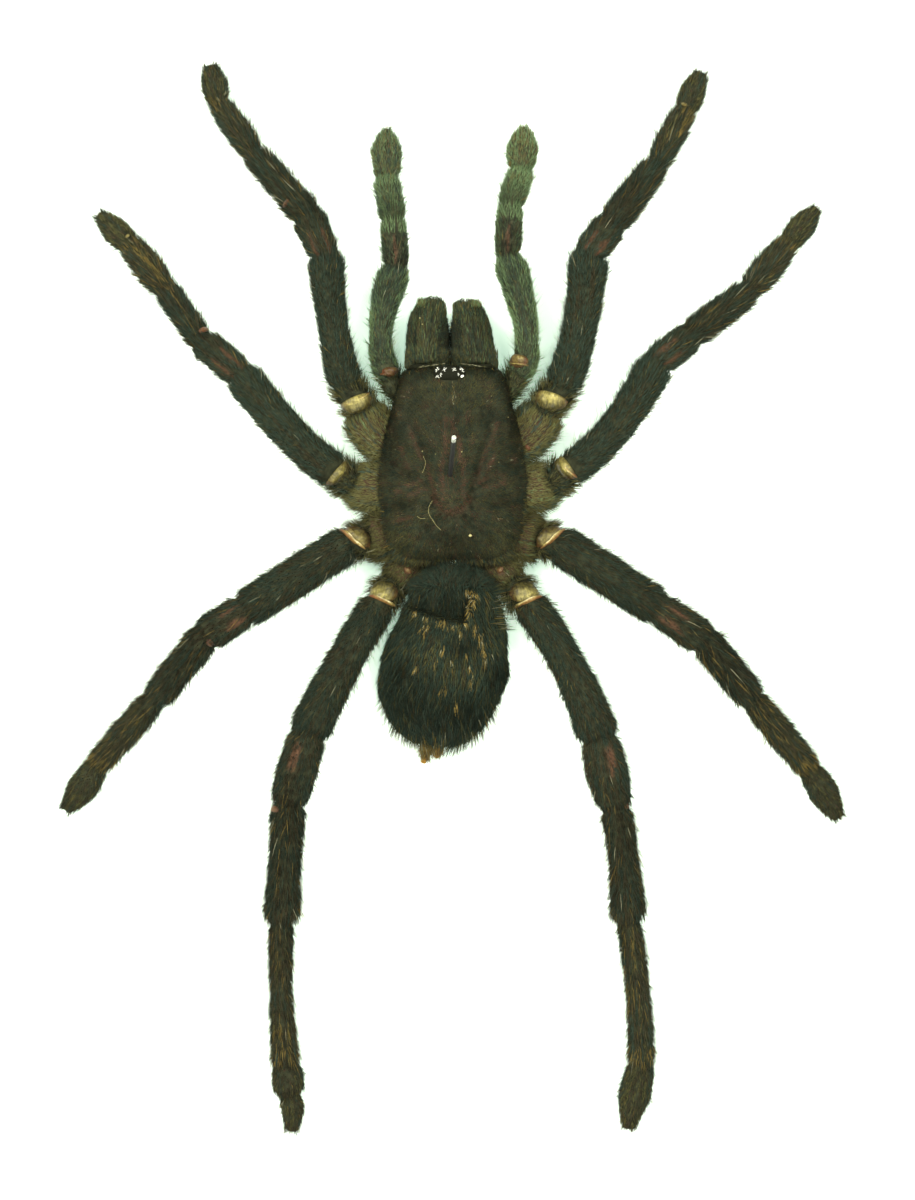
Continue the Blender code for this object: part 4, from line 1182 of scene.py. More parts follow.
def make_membrane(limb):
    """A dome of dried membrane with a taut fold on its outer side; the fold's ivory line and the
    dome's bright ridge are painted highlights.
    """
    membrane = MEMBRANES[limb.name]
    fold = np.subtract(membrane.fold_to, membrane.fold_from)
    half = np.linalg.norm(fold) / 2
    across = unit(fold)

    # Dome: gold with darker ends, and a bright ridge towards the fold that is a painted highlight
    def dome_tone_and_highlight(x, y):
        ridge = np.exp(-((y - 0.55) / 0.45) ** 2 - (x / 0.65) ** 2)
        return membrane.glow * (0.62 + 0.55 * ridge) - 0.22 * np.clip(-y, 0, 1) - 0.30 * np.abs(x) ** 3

    def dome_redness(x, y):
        return np.clip(membrane.redness + 0.5 * np.abs(x) ** 4, 0, 1)

    # Fold: an ivory line that is a painted highlight, darker towards its outer side
    def fold_glow(x, y):
        middle = np.clip(1.05 - 0.75 * np.abs(x - 0.1) ** 1.6, 0, 1)
        return membrane.fold_glow * middle - 0.35 * np.clip(y, 0, 1)

    def fold_redness(x, y):
        return np.clip(0.10 + 0.5 * np.abs(x) ** 2 + 0.6 * np.clip(y, 0, 1), 0, 1)

    lens_piece(f"membrane_{limb.name}", limb, membrane.centre, across, (half * 0.96, membrane.half_along),
               DOME_HEIGHT, dome_tone_and_highlight, dome_redness)
    middle = (np.array(membrane.fold_from) + membrane.fold_to) / 2
    lens_piece(f"fold_{limb.name}", limb, middle, across, (half, FOLD_HALF_ALONG), FOLD_HEIGHT,
               fold_glow, fold_redness, bow=0.25)


def make_patches(limbs):
    """Small bare patches at the knees and the leg bases."""
    for number, (name, centre, half_across, half_along, glow, redness) in enumerate(PATCHES):
        limb = limbs[name]
        way = limb.way_at(np.array(centre))
        lens_piece(f"patch_{number}", limb, centre, np.array((-way[1], way[0])), (half_across, half_along),
                   0.3, lambda x, y: glow - 0.25 * (x ** 2 + y ** 2), lambda x, y: redness + 0.0 * x)


CLAW_LENGTH = 0.7
CLAW_RADIUS = 0.09
CLAW_SPACING = 0.28
CLAW_SINK = 0.35  # how far inside the tip a claw begins
CLAW_CURVE = ((0.0, 0.0), (0.35, 0.2), (0.7, 0.05), (1.0, -0.5))  # place along it and rise


def make_claws():
    """Two small hooks at the tip of each leg."""
    bm = bmesh.new()
    for name, (_, segments) in LIMBS.items():
        if name.startswith("palp"):
            continue
        tip, start = np.array(segments[-1][0]), np.array(segments[-2][0])
        way = unit((tip - start) * (1, 1, 0))
        side = np.array((-way[1], way[0], 0.0))
        for apart in (-CLAW_SPACING, CLAW_SPACING):
            root = tip - way * CLAW_SINK + side * apart + UP * 0.1
            line = [root + way * CLAW_LENGTH * place + UP * rise for place, rise in CLAW_CURVE]
            thread(bm, line, CLAW_RADIUS, taper=0.9)
    # Horn: nearly black and glossy
    horn = shared("claw_horn", hard_material, bpy.context.scene.specimen_finish.fang, 0.25)
    finish("claws", bm, horn)


# Carapace
CARAPACE_UNDERSIDE = 5.0
CARAPACE_MARGIN = 5.6
CARAPACE_CREST = 9.9
HEAD_RISE = 0.8
HEAD_START = 17.0
HEAD_RAMP = 8.0
HEAD_HALF_WIDTH = 6.5
FLANK_CURVE = 3.0
FACE_CURVE = 30.0
FOVEA = (0.0, 11.7)
CARAPACE_RIM = (
    (0.0, 30.1), (3.2, 30.1), (5.9, 29.6), (7.0, 27.4), (8.0, 23.6), (9.0, 19.8), (9.6, 15.8),
    (9.3, 11.6), (8.6, 8.0), (6.6, 5.2), (3.4, 4.7), (0.0, 4.9),
)
CARAPACE_SPOKES = 120
CARAPACE_RINGS = 46
VELVET_DEPTH = 0.2
VELVET_LENGTH = 0.46
VELVET_DENSITY = 70.0
# Furrows of the shield on its right side, from the middle outwards: start, end and depth
FURROWS = (
    ((2.4, 12.9), (3.7, 18.3), 0.42),
    ((3.7, 18.3), (5.3, 24.2), 0.30),
    ((2.8, 14.2), (7.8, 17.2), 0.40),
    ((2.6, 12.0), (8.8, 12.0), 0.34),
    ((1.6, 10.4), (6.6, 6.0), 0.36),
)
FURROW_HALF_WIDTH = 0.55
# The ridge of the head between the first furrows: its half width at places along Y
RIDGE_PLACES = (11.4, 13.0, 18.3, 24.2, 28.0)
RIDGE_HALF_WIDTHS = (0.9, 2.2, 3.5, 5.1, 5.6)
RIDGE_HEIGHT = 0.40
# The fovea: a groove that bends round the rear of the ridge, with a pit in its side
FOVEA_LINE = ((-2.4, 13.1), (-1.4, 11.6), (0.0, 11.0), (1.2, 11.5), (2.1, 12.8))
FOVEA_DEPTH = 0.45
FOVEA_HALF_WIDTH = 0.32
PIT = ((0.66, 12.3), (0.15, 0.18))
CRACK = ((-9.0, 8.9), (-7.0, 9.5), (-5.1, 10.3))
# Pale line of hair down the middle of the head, and the red line that follows it
PALE_LINE = ((0.05, 25.2), (0.1, 28.0))
RED_LINE = ((-0.4, 17.0), (0.05, 25.2))
# Red-brown streaks, as start and end, and spots, stains and darker patches, as place and radii
# across and along the body
RED_STREAKS = (
    ((-5.6, 22.2), (-4.0, 18.0)), ((-6.6, 19.4), (-5.4, 16.6)), ((-3.2, 17.0), (-2.4, 13.6)),
    ((5.8, 22.6), (4.2, 18.4)), ((4.4, 19.6), (3.3, 15.6)), ((5.4, 18.6), (4.4, 16.4)),
    ((2.7, 14.7), (5.9, 16.3)), ((4.0, 14.3), (6.6, 14.9)), ((-7.3, 13.9), (-4.0, 15.2)),
    ((-5.6, 13.3), (-3.4, 14.2)), ((-1.3, 17.4), (-1.1, 12.8)), ((1.5, 17.8), (1.3, 13.4)),
    ((-0.9, 23.4), (-0.9, 19.0)), ((0.8, 20.6), (0.9, 17.6)), ((-7.6, 10.0), (-5.2, 10.5)),
)
RED_SPOTS = (((2.6, 11.0), (0.6, 0.35)), ((0.4, 5.2), (0.6, 0.5)), ((7.6, 20.0), (0.35, 0.45)),
             ((7.9, 17.9), (0.35, 0.4)), ((-7.5, 17.6), (0.35, 0.4)))
OLIVE_STAINS = (
    ((2.6, 27.2), (2.2, 1.4)), ((-2.4, 27.0), (2.0, 1.2)), ((-3.4, 10.6), (1.2, 0.9)),
    ((6.6, 7.2), (1.6, 2.0)), ((-6.6, 7.0), (1.8, 1.8)), ((1.6, 24.8), (1.6, 0.8)),
)
DARK_PATCHES = (
    ((-7.6, 20.6), (1.2, 4.6)), ((7.6, 21.6), (1.0, 4.6)), ((-4.4, 25.4), (1.8, 2.0)),
    ((3.6, 23.6), (1.2, 1.4)), ((6.4, 12.8), (1.6, 1.0)), ((-6.0, 12.2), (1.8, 0.9)),
    ((0.6, 7.6), (2.4, 1.6)), ((-5.6, 16.2), (1.0, 0.8)),
)
# The ridge down the middle, where the velvet is thin: place and radii
RED_RIDGE = ((-0.2, 18.6), (2.0, 6.6))
# Painted shade: a dark line just behind the fovea
FOVEA_SHADE = ((-2.9, 13.0), (-1.7, 11.2), (-0.1, 10.5), (1.6, 11.0), (2.6, 12.7))


def rim_curve(steps):
    """Points of the shield's outline, clockwise from its front."""
    mirrored = [(-x, y) for x, y in reversed(CARAPACE_RIM[1:-1])]
    points = np.array(list(CARAPACE_RIM) + mirrored)
    count = len(points)
    place = np.arange(steps) * count / steps
    i = place.astype(int)
    neighbours = (points[(i + offset) % count] for offset in (-1, 0, 1, 2))
    return curve_between(*neighbours, (place - i)[:, None])


def shield_height(points, fraction):
    """Height of the shield's back, before its furrows."""
    x, y = points[..., 0], points[..., 1]
    forward = np.clip((y - HEAD_START) / HEAD_RAMP, 0, 1)
    curve = FLANK_CURVE + (FACE_CURVE - FLANK_CURVE) * forward ** 2
    crest = CARAPACE_CREST + HEAD_RISE * forward * np.clip(1 - (x / HEAD_HALF_WIDTH) ** 2, 0, None)
    return CARAPACE_MARGIN + (crest - CARAPACE_MARGIN) * (1 - fraction ** curve)


def furrow_depth(points):
    """Depth of the shield's furrows."""
    depth = np.zeros(points.shape[:-1])
    for side in (-1, 1):
        for start, end, deep in FURROWS:
            gap, place = distance_to(points, (side * start[0], start[1]), (side * end[0], end[1]))
            depth = np.maximum(depth, deep * np.exp(-(gap / FURROW_HALF_WIDTH) ** 2) * (1 - 0.4 * place))
    return depth


def carapace_surface():
    """The shield's back as rings from beside the fovea out to its rim."""
    rim = rim_curve(CARAPACE_SPOKES)
    fractions = 1 - (1 - np.linspace(0.02, 1.0, CARAPACE_RINGS)) ** 1.25
    centre = np.array(FOVEA)
    plan = centre + (rim - centre)[None, :, :] * fractions[:, None, None]
    points = np.concatenate((plan, np.zeros(plan.shape[:2] + (1,))), axis=-1)
    x, y = points[..., 0], points[..., 1]
    ridge = np.clip(1 - (x / np.interp(y, RIDGE_PLACES, RIDGE_HALF_WIDTHS)) ** 2, 0, 1)
    ridge *= np.clip((y - 11.2) / 1.2, 0, 1) * np.clip((29.0 - y) / 3.0, 0, 1)
    height = shield_height(points, fractions[:, None]) - VELVET_DEPTH
    fade = np.clip((1 - fractions[:, None]) / 0.3, 0, 1)
    height += RIDGE_HEIGHT * (ridge - 1) * fade * fade * (3 - 2 * fade) - furrow_depth(points)
    height -= FOVEA_DEPTH * near_lines(points, pairs(FOVEA_LINE), FOVEA_HALF_WIDTH)
    height -= 0.5 * near_spots(points, (PIT,)) + 0.3 * near_lines(points, pairs(CRACK), 0.14)
    inner = 1 - fractions[:, None] ** 6
    height += inner * (0.07 * wobble(points, 1.6, 11) + 0.03 * wobble(points, 0.6, 12))
    points[..., 2] = np.maximum(height, CARAPACE_UNDERSIDE + 0.15)
    return Surface(points, tubular=False)


def make_carapace():
    surface = carapace_surface()
    rim = surface.points[-1].copy()
    rim[:, 2] = CARAPACE_UNDERSIDE
    inset = np.array((*FOVEA, CARAPACE_UNDERSIDE))
    grid = np.concatenate(((inset + (rim - inset) * 0.96)[None], surface.points[::-1]))
    red = 0.5 * near_lines(grid, RED_STREAKS, 0.3) + 0.6 * near_lines(grid, pairs(FOVEA_LINE), 0.5)
    skin_piece("carapace_shield", grid, shared("carapace_chitin", chitin_material, 1.0, 0.55),
               ("carapace",), {"bald": np.clip(red * 0.7, 0, 1)})
    make_jaw_membrane()
    velvet = Fur(21)
    add_velvet(surface, velvet)
    add_rim_hair(surface, velvet)
    velvet.build("carapace_velvet", shared("velvet_hair", hair_material, 0.65, 0.04))


def add_velvet(surface, velvet):
    """Short velvet that combs outwards and back from the fovea."""
    rng = velvet.rng
    x, y, _ = np.moveaxis(surface.points, -1, 0)
    mound = np.hypot((x - EYE_MOUND[0]) / 2.2, (y - EYE_MOUND[1]) / 1.1)
    clear = (1 - 0.8 * near_spots(surface.points, (PIT,))) * (mound > 1)
    roots, lie, _, u, _ = velvet.sow(surface, VELVET_DENSITY * clear, 34, 0.3,
                                     lambda points, ways: ways + (0.0, -0.6, 0.0))
    count = len(u)
    x, y, _ = roots.T
    furrow = furrow_depth(roots) / 0.42
    lip = near_lines(roots, pairs(FOVEA_LINE), 0.5)
    shade = near_lines(roots, pairs(FOVEA_SHADE), 0.24)
    pale = near_lines(roots, (PALE_LINE,), 0.14)
    streaks = near_lines(roots, RED_STREAKS, 0.26)
    ridge = near_spots(roots, (RED_RIDGE,))
    redness = streaks + near_spots(roots, RED_SPOTS) + 1.2 * lip
    redness = redness + near_lines(roots, (RED_LINE,), 0.22) + 0.3 * ridge
    edge = np.clip((u - 0.70) / 0.30, 0, 1)
    blotch = wobble(roots, 2.4, 31)
    stains = near_spots(roots, OLIVE_STAINS)
    outward = np.stack((np.arctan2(x, y - 11.7) * 5.0, np.hypot(x, y - 11.7) * 0.25, 0 * x), axis=-1)
    strand = wobble(outward, 0.35, 33)
    weights = {
        "teal": 0.36 - 0.10 * blotch,
        "olive": 0.14 + 0.06 * blotch + 0.9 * stains,
        "brown": 0.44 + 0 * x,
        "red": 0.04 + 0.9 * redness,
        "gold": 0.003 + 1.4 * pale,
        "pale": 0.003 + 0.6 * pale,
    }
    colours = pick(weights, 0.6 * strand + rng.normal(0, 0.8, count))
    # Painted light and shade of the relief: darker in the furrows and along the dark line behind the fovea,
    # and lighter on the fovea's lip, whose redness is its own colour
    tones = 0.31 + 0.05 * blotch + 0.06 * strand - 0.12 * edge - 0.18 * furrow - 0.55 * shade + 0.24 * lip
    tones += 0.15 * streaks + 0.06 * ridge + 0.06 * stains - 0.20 * near_spots(roots, DARK_PATCHES)
    tones += rng.normal(0, 0.04, count)
    velvet.add(roots, lie, VELVET_LENGTH * rng.uniform(0.7, 1.3, count), velvet.fine * 0.62, colours, tones)


def add_rim_hair(surface, velvet):
    """Longer hair along the rim, most of it at the rear, and a pale line beside the eyes."""
    rng = velvet.rng
    outer = (np.arange(CARAPACE_RINGS) > CARAPACE_RINGS - 6)[:, None]
    rear = np.clip((7.0 - surface.points[..., 1]) / 1.5, 0, 1)
    side = np.clip((22.0 - surface.points[..., 1]) / 8.0, 0, 1)
    density = (2.2 + 12.0 * side + 48.0 * rear) * outer
    roots, lie, ways, _, _ = velvet.sow(surface, density, 32, 0.35)
    count = len(roots)
    colours = velvet.draw({"teal": 0.30, "olive": 0.37, "brown": 0.30, "gold": 0.03}, count)
    lengths = np.where(roots[:, 1] < 7.0, rng.uniform(0.8, 1.9, count), rng.uniform(0.5, 1.0, count))
    tones = rng.uniform(0.15, 0.5, count)
    velvet.add(roots, lie, lengths, velvet.bristle, colours, tones, bend_to=ways * 0.4)
    count = int(EDGE_HAIRS * velvet.density)
    x = rng.uniform(0.7, 4.2, count) * rng.choice((-1.0, 1.0), count)
    y = 30.45 - 0.13 * np.abs(x) + rng.normal(0, 0.03, count)
    roots = np.stack((x, y, 9.3 - 0.035 * x ** 2), axis=-1)
    lie = np.stack((np.sign(x), -0.13 + 0 * x, 0 * x), axis=-1) + rng.normal(0, 0.08, (count, 3))
    velvet.add(roots, lie, rng.uniform(0.3, 0.6, count), velvet.bristle * 0.6,
               velvet.draw({"olive": 0.5, "pale": 0.5}, count), rng.uniform(0.2, 0.6, count))


JAW_MEMBRANE_HALF = 5.75
EDGE_HAIRS = 90  # hairs of the pale line beside the eyes
JAW_BASE_HAIRS = 2600  # hairs over the base of each jaw


def make_jaw_membrane():
    """The dark fold of skin that joins the jaws to the front edge of the shield."""
    x = np.linspace(-JAW_MEMBRANE_HALF, JAW_MEMBRANE_HALF, 30)
    centres = np.stack((x - 0.15, 30.3 - 0.012 * x ** 2, np.full(30, 6.4)), axis=-1)
    swell = np.sqrt(np.clip(1.02 - (x / JAW_MEMBRANE_HALF) ** 6, 0.04, 1))
    points = rings_round(centres, np.tile((1.0, 0.0, 0.0), (30, 1)), 0.85 * swell, 1.55 * swell, 20)
    points = points + 0.05 * wobble(points, 0.5, 15)[:, :, None]
    skin_piece("jaw_membrane", points, shared("membrane_chitin", chitin_material, 0.7, 0.8))


def add_jaw_base(fur, left, right):
    """Hair from the front edge of the shield over the base of a jaw, darkened towards the middle
    with painted shade of the seam between the jaws."""
    rng = fur.rng
    count = int(JAW_BASE_HAIRS * fur.density)
    x = rng.uniform(left, right, count)
    y = 29.8 + 2.0 * rng.random(count) ** 1.6
    z = 7.9 + 0.45 * (y - 29.8) - 0.03 * (x + 0.3) ** 2
    middle = np.exp(-((x + 0.3) / 0.5) ** 2)
    lie = np.stack((rng.normal(0, 0.12, count), np.ones(count), 0.35 + rng.normal(0, 0.1, count)), axis=-1)
    colours = fur.draw({"teal": 0.46, "olive": 0.30, "brown": 0.24}, count)
    tones = 0.34 - 0.3 * middle + rng.normal(0, 0.06, count)
    fur.add(np.stack((x, y, z), axis=-1), lie, rng.uniform(0.5, 1.1, count), fur.fine * 0.8, colours, tones)


# Eyes: place on the mound, radius, stretch and how many degrees its long axis turns
EYE_MOUND = (-0.4, 29.0)
EYE_MOUND_HALF = (2.1, 1.05, 0.95)
EYE_MOUND_HEIGHT = 9.7
EYES = (
    ((-1.95, 29.5), 0.34, 1.35, 38), ((-1.03, 29.5), 0.33, 1.10, 60), ((0.22, 29.5), 0.33, 1.05, 0),
    ((1.20, 29.5), 0.34, 1.35, -38), ((-1.90, 28.6), 0.30, 1.10, 0), ((-1.47, 28.85), 0.22, 1.5, 75),
    ((0.78, 28.9), 0.20, 1.2, -60), ((1.25, 28.65), 0.28, 1.2, 20),
)


def make_eyes():
    settings = bpy.context.scene.specimen_finish
    bm = bmesh.new()
    place = Matrix.Translation((*EYE_MOUND, EYE_MOUND_HEIGHT)) @ Matrix.Diagonal((*EYE_MOUND_HALF, 1.0))
    bmesh.ops.create_uvsphere(bm, u_segments=40, v_segments=20, radius=1.0, matrix=place)
    for vert in bm.verts:
        vert.co += vert.co.normalized() * 0.03 * float(wobble(np.array(vert.co), 0.5, 41))
    # Bare dark shell of the mound, dull and finely grained
    tint = shaded(settings.chitin, 0.4)
    mound = shared("eye_mound_chitin", hard_material, tint, 0.75, 0.0, 0.08, 0.0, 0.2, 0.05)
    finish("eye_mound", bm, mound)
    bm = bmesh.new()
    tapetum_and_glints = []
    for (x, y), radius, stretch, degrees in EYES:
        dx = (x - EYE_MOUND[0]) / EYE_MOUND_HALF[0]
        dy = (y - EYE_MOUND[1]) / EYE_MOUND_HALF[1]
        rise = math.sqrt(max(0.08, 1 - dx * dx - dy * dy))
        centre = Vector((x, y, EYE_MOUND_HEIGHT + EYE_MOUND_HALF[2] * rise - 0.08))
        turn = Matrix.Rotation(math.radians(degrees), 4, "Z")
        place = Matrix.Translation(centre) @ turn @ Matrix.Diagonal((stretch, 0.9, 0.8, 1.0))
        made = bmesh.ops.create_uvsphere(bm, u_segments=24, v_segments=14, radius=radius, matrix=place)
        for vert in made["verts"]:
            local = turn.inverted() @ (vert.co - centre)
            reach = math.hypot(local.x / stretch, local.y / 0.9) / radius
            # Silver middle on the top of each eye: the mirror behind the lens, with a painted glint
            tapetum_and_glints.append(min(1.0, max(0.0, (0.72 - reach) * 6)) * (local.z > 0))
    finish("eyes", bm, shared("eye_lens", eye_material), (), {"mirror": tapetum_and_glints})


# Pin
PIN_RADIUS = 0.3
PIN_ENTRY = Vector((-0.3, 16.0, 9.6))
PIN_LEAN = Vector((0.5, 4.6, 7.5))
PIN_BOTTOM = 0.6
PIN_BARE_TIP = 0.9  # length of bare steel at the cut end


def make_pin():
    settings = bpy.context.scene.specimen_finish
    bottom = PIN_ENTRY + PIN_LEAN * ((PIN_BOTTOM + PIN_RADIUS - PIN_ENTRY.z) / PIN_LEAN.z)
    top = PIN_ENTRY + PIN_LEAN
    way = PIN_LEAN.normalized()
    bm = bmesh.new()
    place = Matrix.Translation((bottom + top) / 2) @ PIN_LEAN.to_track_quat("Z", "Y").to_matrix().to_4x4()
    bmesh.ops.create_cone(bm, cap_ends=True, segments=40, radius1=PIN_RADIUS, radius2=PIN_RADIUS,
                          depth=(top - bottom).length, matrix=place)
    bare_from = top - way * PIN_BARE_TIP
    everything = bm.verts[:] + bm.edges[:] + bm.faces[:]
    bmesh.ops.bisect_plane(bm, geom=everything, plane_co=bare_from, plane_no=way)
    for face in bm.faces:
        face.material_index = int((face.calc_center_median() - bare_from).dot(way) > 0)
    ends = [face for face in bm.faces if len(face.verts) == 40]
    cut = max(ends, key=lambda face: face.calc_center_median().z)
    bmesh.ops.inset_region(bm, faces=[cut], thickness=0.04, depth=0.03)
    # Black enamel on the shaft, and rough steel where it was cut
    enamel = shared("pin_enamel", hard_material, settings.enamel, 0.5, 0.0, 0.0)
    pin = finish("insect_pin", bm, enamel, ("pin",))
    pin.data.materials.append(shared("cut_steel", hard_material, settings.steel, 0.45, 1.0))
    pin.data.set_sharp_from_angle(angle=math.radians(40))


# Dust on the carapace: fibres as points in plan, and specks with their radii
FIBRES = (
    ((-2.6, 12.6), (-3.0, 11.9), (-3.1, 11.2), (-2.9, 10.6), (-2.5, 10.0), (-2.1, 9.4), (-1.5, 8.8)),
    ((-3.8, 18.4), (-3.5, 17.6), (-3.6, 16.9), (-3.9, 16.2)),
    ((-4.6, 10.6), (-4.1, 10.3), (-3.5, 10.3)),
)
FIBRE_RADIUS = 0.022
SPECKS = (
    (2.3, 8.1, 0.22), (0.35, 4.6, 0.12), (-4.2, 36.2, 0.10), (-3.9, 35.4, 0.09), (1.2, 18.9, 0.10),
    (-0.2, 29.0, 0.07), (-3.9, 19.0, 0.07), (7.2, 23.4, 0.07), (6.0, 17.6, 0.06), (-2.2, 18.6, 0.06),
    (-0.3, 36.6, 0.09), (-0.35, 35.7, 0.08), (-0.25, 35.0, 0.08),
)
VELVET_TOP = 0.35  # height of the velvet's tips over its skin
JAW_BACK = (30.0, 9.4)  # where the jaws begin along Y, and the height of their backs


def make_dust():
    surface = carapace_surface()

    def height_at(x, y):
        gap = np.hypot(surface.points[..., 0] - x, surface.points[..., 1] - y)
        return surface.points[..., 2].ravel()[gap.argmin()] + VELVET_TOP

    bm = bmesh.new()
    for line in FIBRES:
        thread(bm, [(x, y, height_at(x, y)) for x, y in line], FIBRE_RADIUS, sides=6)
    for x, y, radius in SPECKS:
        height = height_at(x, y) if y < JAW_BACK[0] else JAW_BACK[1]
        place = Matrix.Translation((x, y, height)) @ Matrix.Diagonal((1.0, 0.8, 0.5, 1.0))
        bmesh.ops.create_icosphere(bm, subdivisions=2, radius=radius, matrix=place)
    # Lint: dull fibres, yellow with age
    finish("dust", bm, shared("lint", hard_material, srgb("9b9468"), 0.8, 0.0, 0.1))


# Sternum and labium, under the carapace
STERNUM_CENTRE = (0.0, 15.5)
STERNUM_HALF = (2.9, 7.4)
STERNUM_LEVELS = (
    (4.7, 0.90), (4.3, 0.95), (3.9, 0.97), (3.0, 0.965), (2.2, 0.93), (1.7, 0.84), (1.35, 0.68),
    (1.15, 0.48), (1.05, 0.25), (1.02, 0.08),
)
LABIUM_CENTRE = (0.0, 23.0, 2.6)
LABIUM_HALF = (1.1, 1.2, 1.3)


def make_sternum():
    levels = smooth_rows(STERNUM_LEVELS, 30)
    angles = np.arange(64) * math.tau / 64
    outline = np.stack((-np.sin(angles) * STERNUM_HALF[0], np.cos(angles) * STERNUM_HALF[1]), axis=-1)
    plan = np.array(STERNUM_CENTRE) + outline[None] * levels[:, 1, None, None]
    heights = np.broadcast_to(levels[:, 0, None, None], plan.shape[:2] + (1,))
    surface = Surface(np.concatenate((plan, heights), axis=-1), tubular=False)
    skin_piece("sternum_plate", surface.points, leg_chitin(), ("sternum",))
    bm = bmesh.new()
    place = Matrix.Translation(LABIUM_CENTRE) @ Matrix.Diagonal((*LABIUM_HALF, 1.0))
    bmesh.ops.create_uvsphere(bm, u_segments=24, v_segments=14, radius=1.0, matrix=place)
    finish("labium", bm, leg_chitin())
    fur = Fur(51)
    below = (surface.points[:, :, 2] < 3.6).astype(float)
    roots, lie, _, _, _ = fur.sow(surface, 16.0 * below, 35, 0.3)
    count = len(roots)
    colours = fur.draw({"teal": 0.6, "brown": 0.4}, count)
    fur.add(roots, lie, fur.rng.uniform(0.5, 0.9, count), fur.fine, colours, fur.rng.normal(0.4, 0.1, count))
    fur.build("sternum_fur", leg_hair())


# Abdomen from the waist to the rear: place along Y, middle X, width, top and underside heights
ABDOMEN = (
    (4.3, 0.2, 2.6, 6.4, 4.0),
    (3.2, 0.2, 6.6, 7.8, 3.8),
    (1.4, 0.0, 10.8, 8.8, 3.6),
    (-0.6, 0.0, 12.8, 9.6, 2.6),
    (-2.8, -0.2, 14.2, 10.6, 0.8),
    (-5.4, -0.6, 15.8, 11.6, -0.9),
    (-8.0, -0.9, 17.0, 12.0, -1.2),
    (-10.6, -1.2, 17.4, 11.8, -1.2),
    (-13.2, -1.7, 16.0, 10.8, -1.0),
    (-15.2, -1.8, 14.0, 9.4, -0.7),
    (-17.1, -1.6, 11.0, 7.6, 0.2),
    (-18.4, -1.6, 7.6, 5.8, 1.0),
    (-19.1, -1.8, 3.4, 4.2, 2.0),
)
ABDOMEN_RINGS = 90
ABDOMEN_SIDES = 72
ABDOMEN_FUR_DEPTH = 0.42
ABDOMEN_GAP = 0.1  # least height of its skin
ABDOMEN_MIDDLE = (-1.2, -10.0, 0.0)
# The crease across the back: the skin ahead of it has sunk
CREASE = ((-5.2, -1.7), (-1.6, -2.5), (1.5, -3.5), (2.7, 0.4))
CREASE_DEPTH = 1.7
CREASE_REACH = 4.6
BACK_HEIGHT = 6.0
# Thin places with golden hair: place and radii across and along the body
GOLD_TUFTS = (
    ((-4.8, -1.9), (0.35, 0.4)), ((-3.7, -4.2), (0.35, 0.6)), ((-3.3, -3.8), (0.3, 0.4)),
    ((-3.4, -2.6), (0.6, 0.25)), ((-1.4, -3.2), (0.6, 0.3)), ((0.2, -3.7), (0.5, 0.25)),
    ((1.1, -4.4), (0.35, 0.5)), ((1.7, -3.3), (0.25, 0.6)), ((2.1, -1.6), (0.25, 1.0)),
    ((2.5, -0.6), (0.3, 1.0)), ((2.1, 0.9), (0.5, 0.4)), ((2.9, 0.4), (0.4, 0.5)),
    ((3.4, -5.2), (0.2, 0.7)), ((3.9, -6.4), (0.25, 1.0)), ((4.2, -7.8), (0.3, 0.8)),
    ((2.8, -3.8), (0.2, 0.8)), ((-1.2, -6.9), (0.2, 0.6)), ((-4.7, -9.0), (0.35, 0.4)),
    ((-2.4, -8.6), (0.2, 0.3)), ((-0.2, -8.4), (0.2, 0.4)), ((1.7, -7.4), (0.2, 0.5)),
    ((2.2, -9.0), (0.2, 0.5)), ((-0.9, -12.0), (0.5, 0.3)), ((2.4, -11.2), (0.2, 0.6)),
    ((0.5, -14.0), (0.2, 0.7)),
)
# Golden tuft over the spinnerets: place and radii
TAIL_TUFT = ((-3.4, -18.6), (1.5, 1.5))
# Pale olive lobes of the back, and hollows darkened with painted shade: place and radii
OLIVE_LOBES = (
    ((4.9, -1.8), (1.2, 3.0)), ((-2.8, -6.6), (2.6, 2.2)), ((1.2, -9.4), (3.0, 2.4)),
    ((5.6, -5.4), (1.0, 2.6)),
)
SHADED_HOLLOWS = (
    ((-0.8, -0.8), (2.8, 1.7)), ((-5.0, -13.4), (3.4, 2.6)), ((1.6, -15.6), (6.0, 3.0)),
    ((5.8, -10.6), (1.6, 2.4)), ((1.2, -6.0), (1.4, 1.0)), ((-6.6, -9.6), (1.0, 2.0)),
)
# Long hair over the abdomen, and hair that spreads forwards and sideways where it meets the shield
GUARD_COAT = PlainCoat(1.6, 24, 0.28, (1.4, 2.5), {"teal": 0.9, "olive": 0.09, "gold": 0.01}, (0.1, 0.4))
WAIST_COAT = PlainCoat(60.0, 40, 0.5, (0.9, 2.0), {"teal": 0.75, "brown": 0.25}, (0.15, 0.42))


def from_crease(points):
    """Distance in the plan view of points ahead of the crease, and of points to its line."""
    ahead = np.full(points.shape[:-1], np.inf)
    gap = np.full(points.shape[:-1], np.inf)
    for (x0, y0), (x1, y1) in pairs(CREASE):
        run = np.array((x1 - x0, y1 - y0))
        left = np.array((-run[1], run[0])) / np.hypot(*run)
        ahead = np.minimum(ahead, (points[..., :2] - (x0, y0)) @ left)
        near, _ = distance_to(points, (x0, y0), (x1, y1))
        gap = np.minimum(gap, near)
    return ahead, gap


def sunk(points):
    """How far the back has sunk ahead of its crease, with a small lip behind it."""
    ahead, gap = from_crease(points)
    step = np.clip(ahead / 0.35, 0, 1)
    step = step * step * (3 - 2 * step)
    fade = np.clip(1 - ahead / CREASE_REACH, 0, 1) * np.clip((points[..., 0] + 6.2) / 1.8, 0, 1)
    lip = np.exp(-(gap / 0.6) ** 2) * (ahead <= 0.1) * 0.4
    return (CREASE_DEPTH * step * fade - lip) * (points[..., 2] > BACK_HEIGHT)


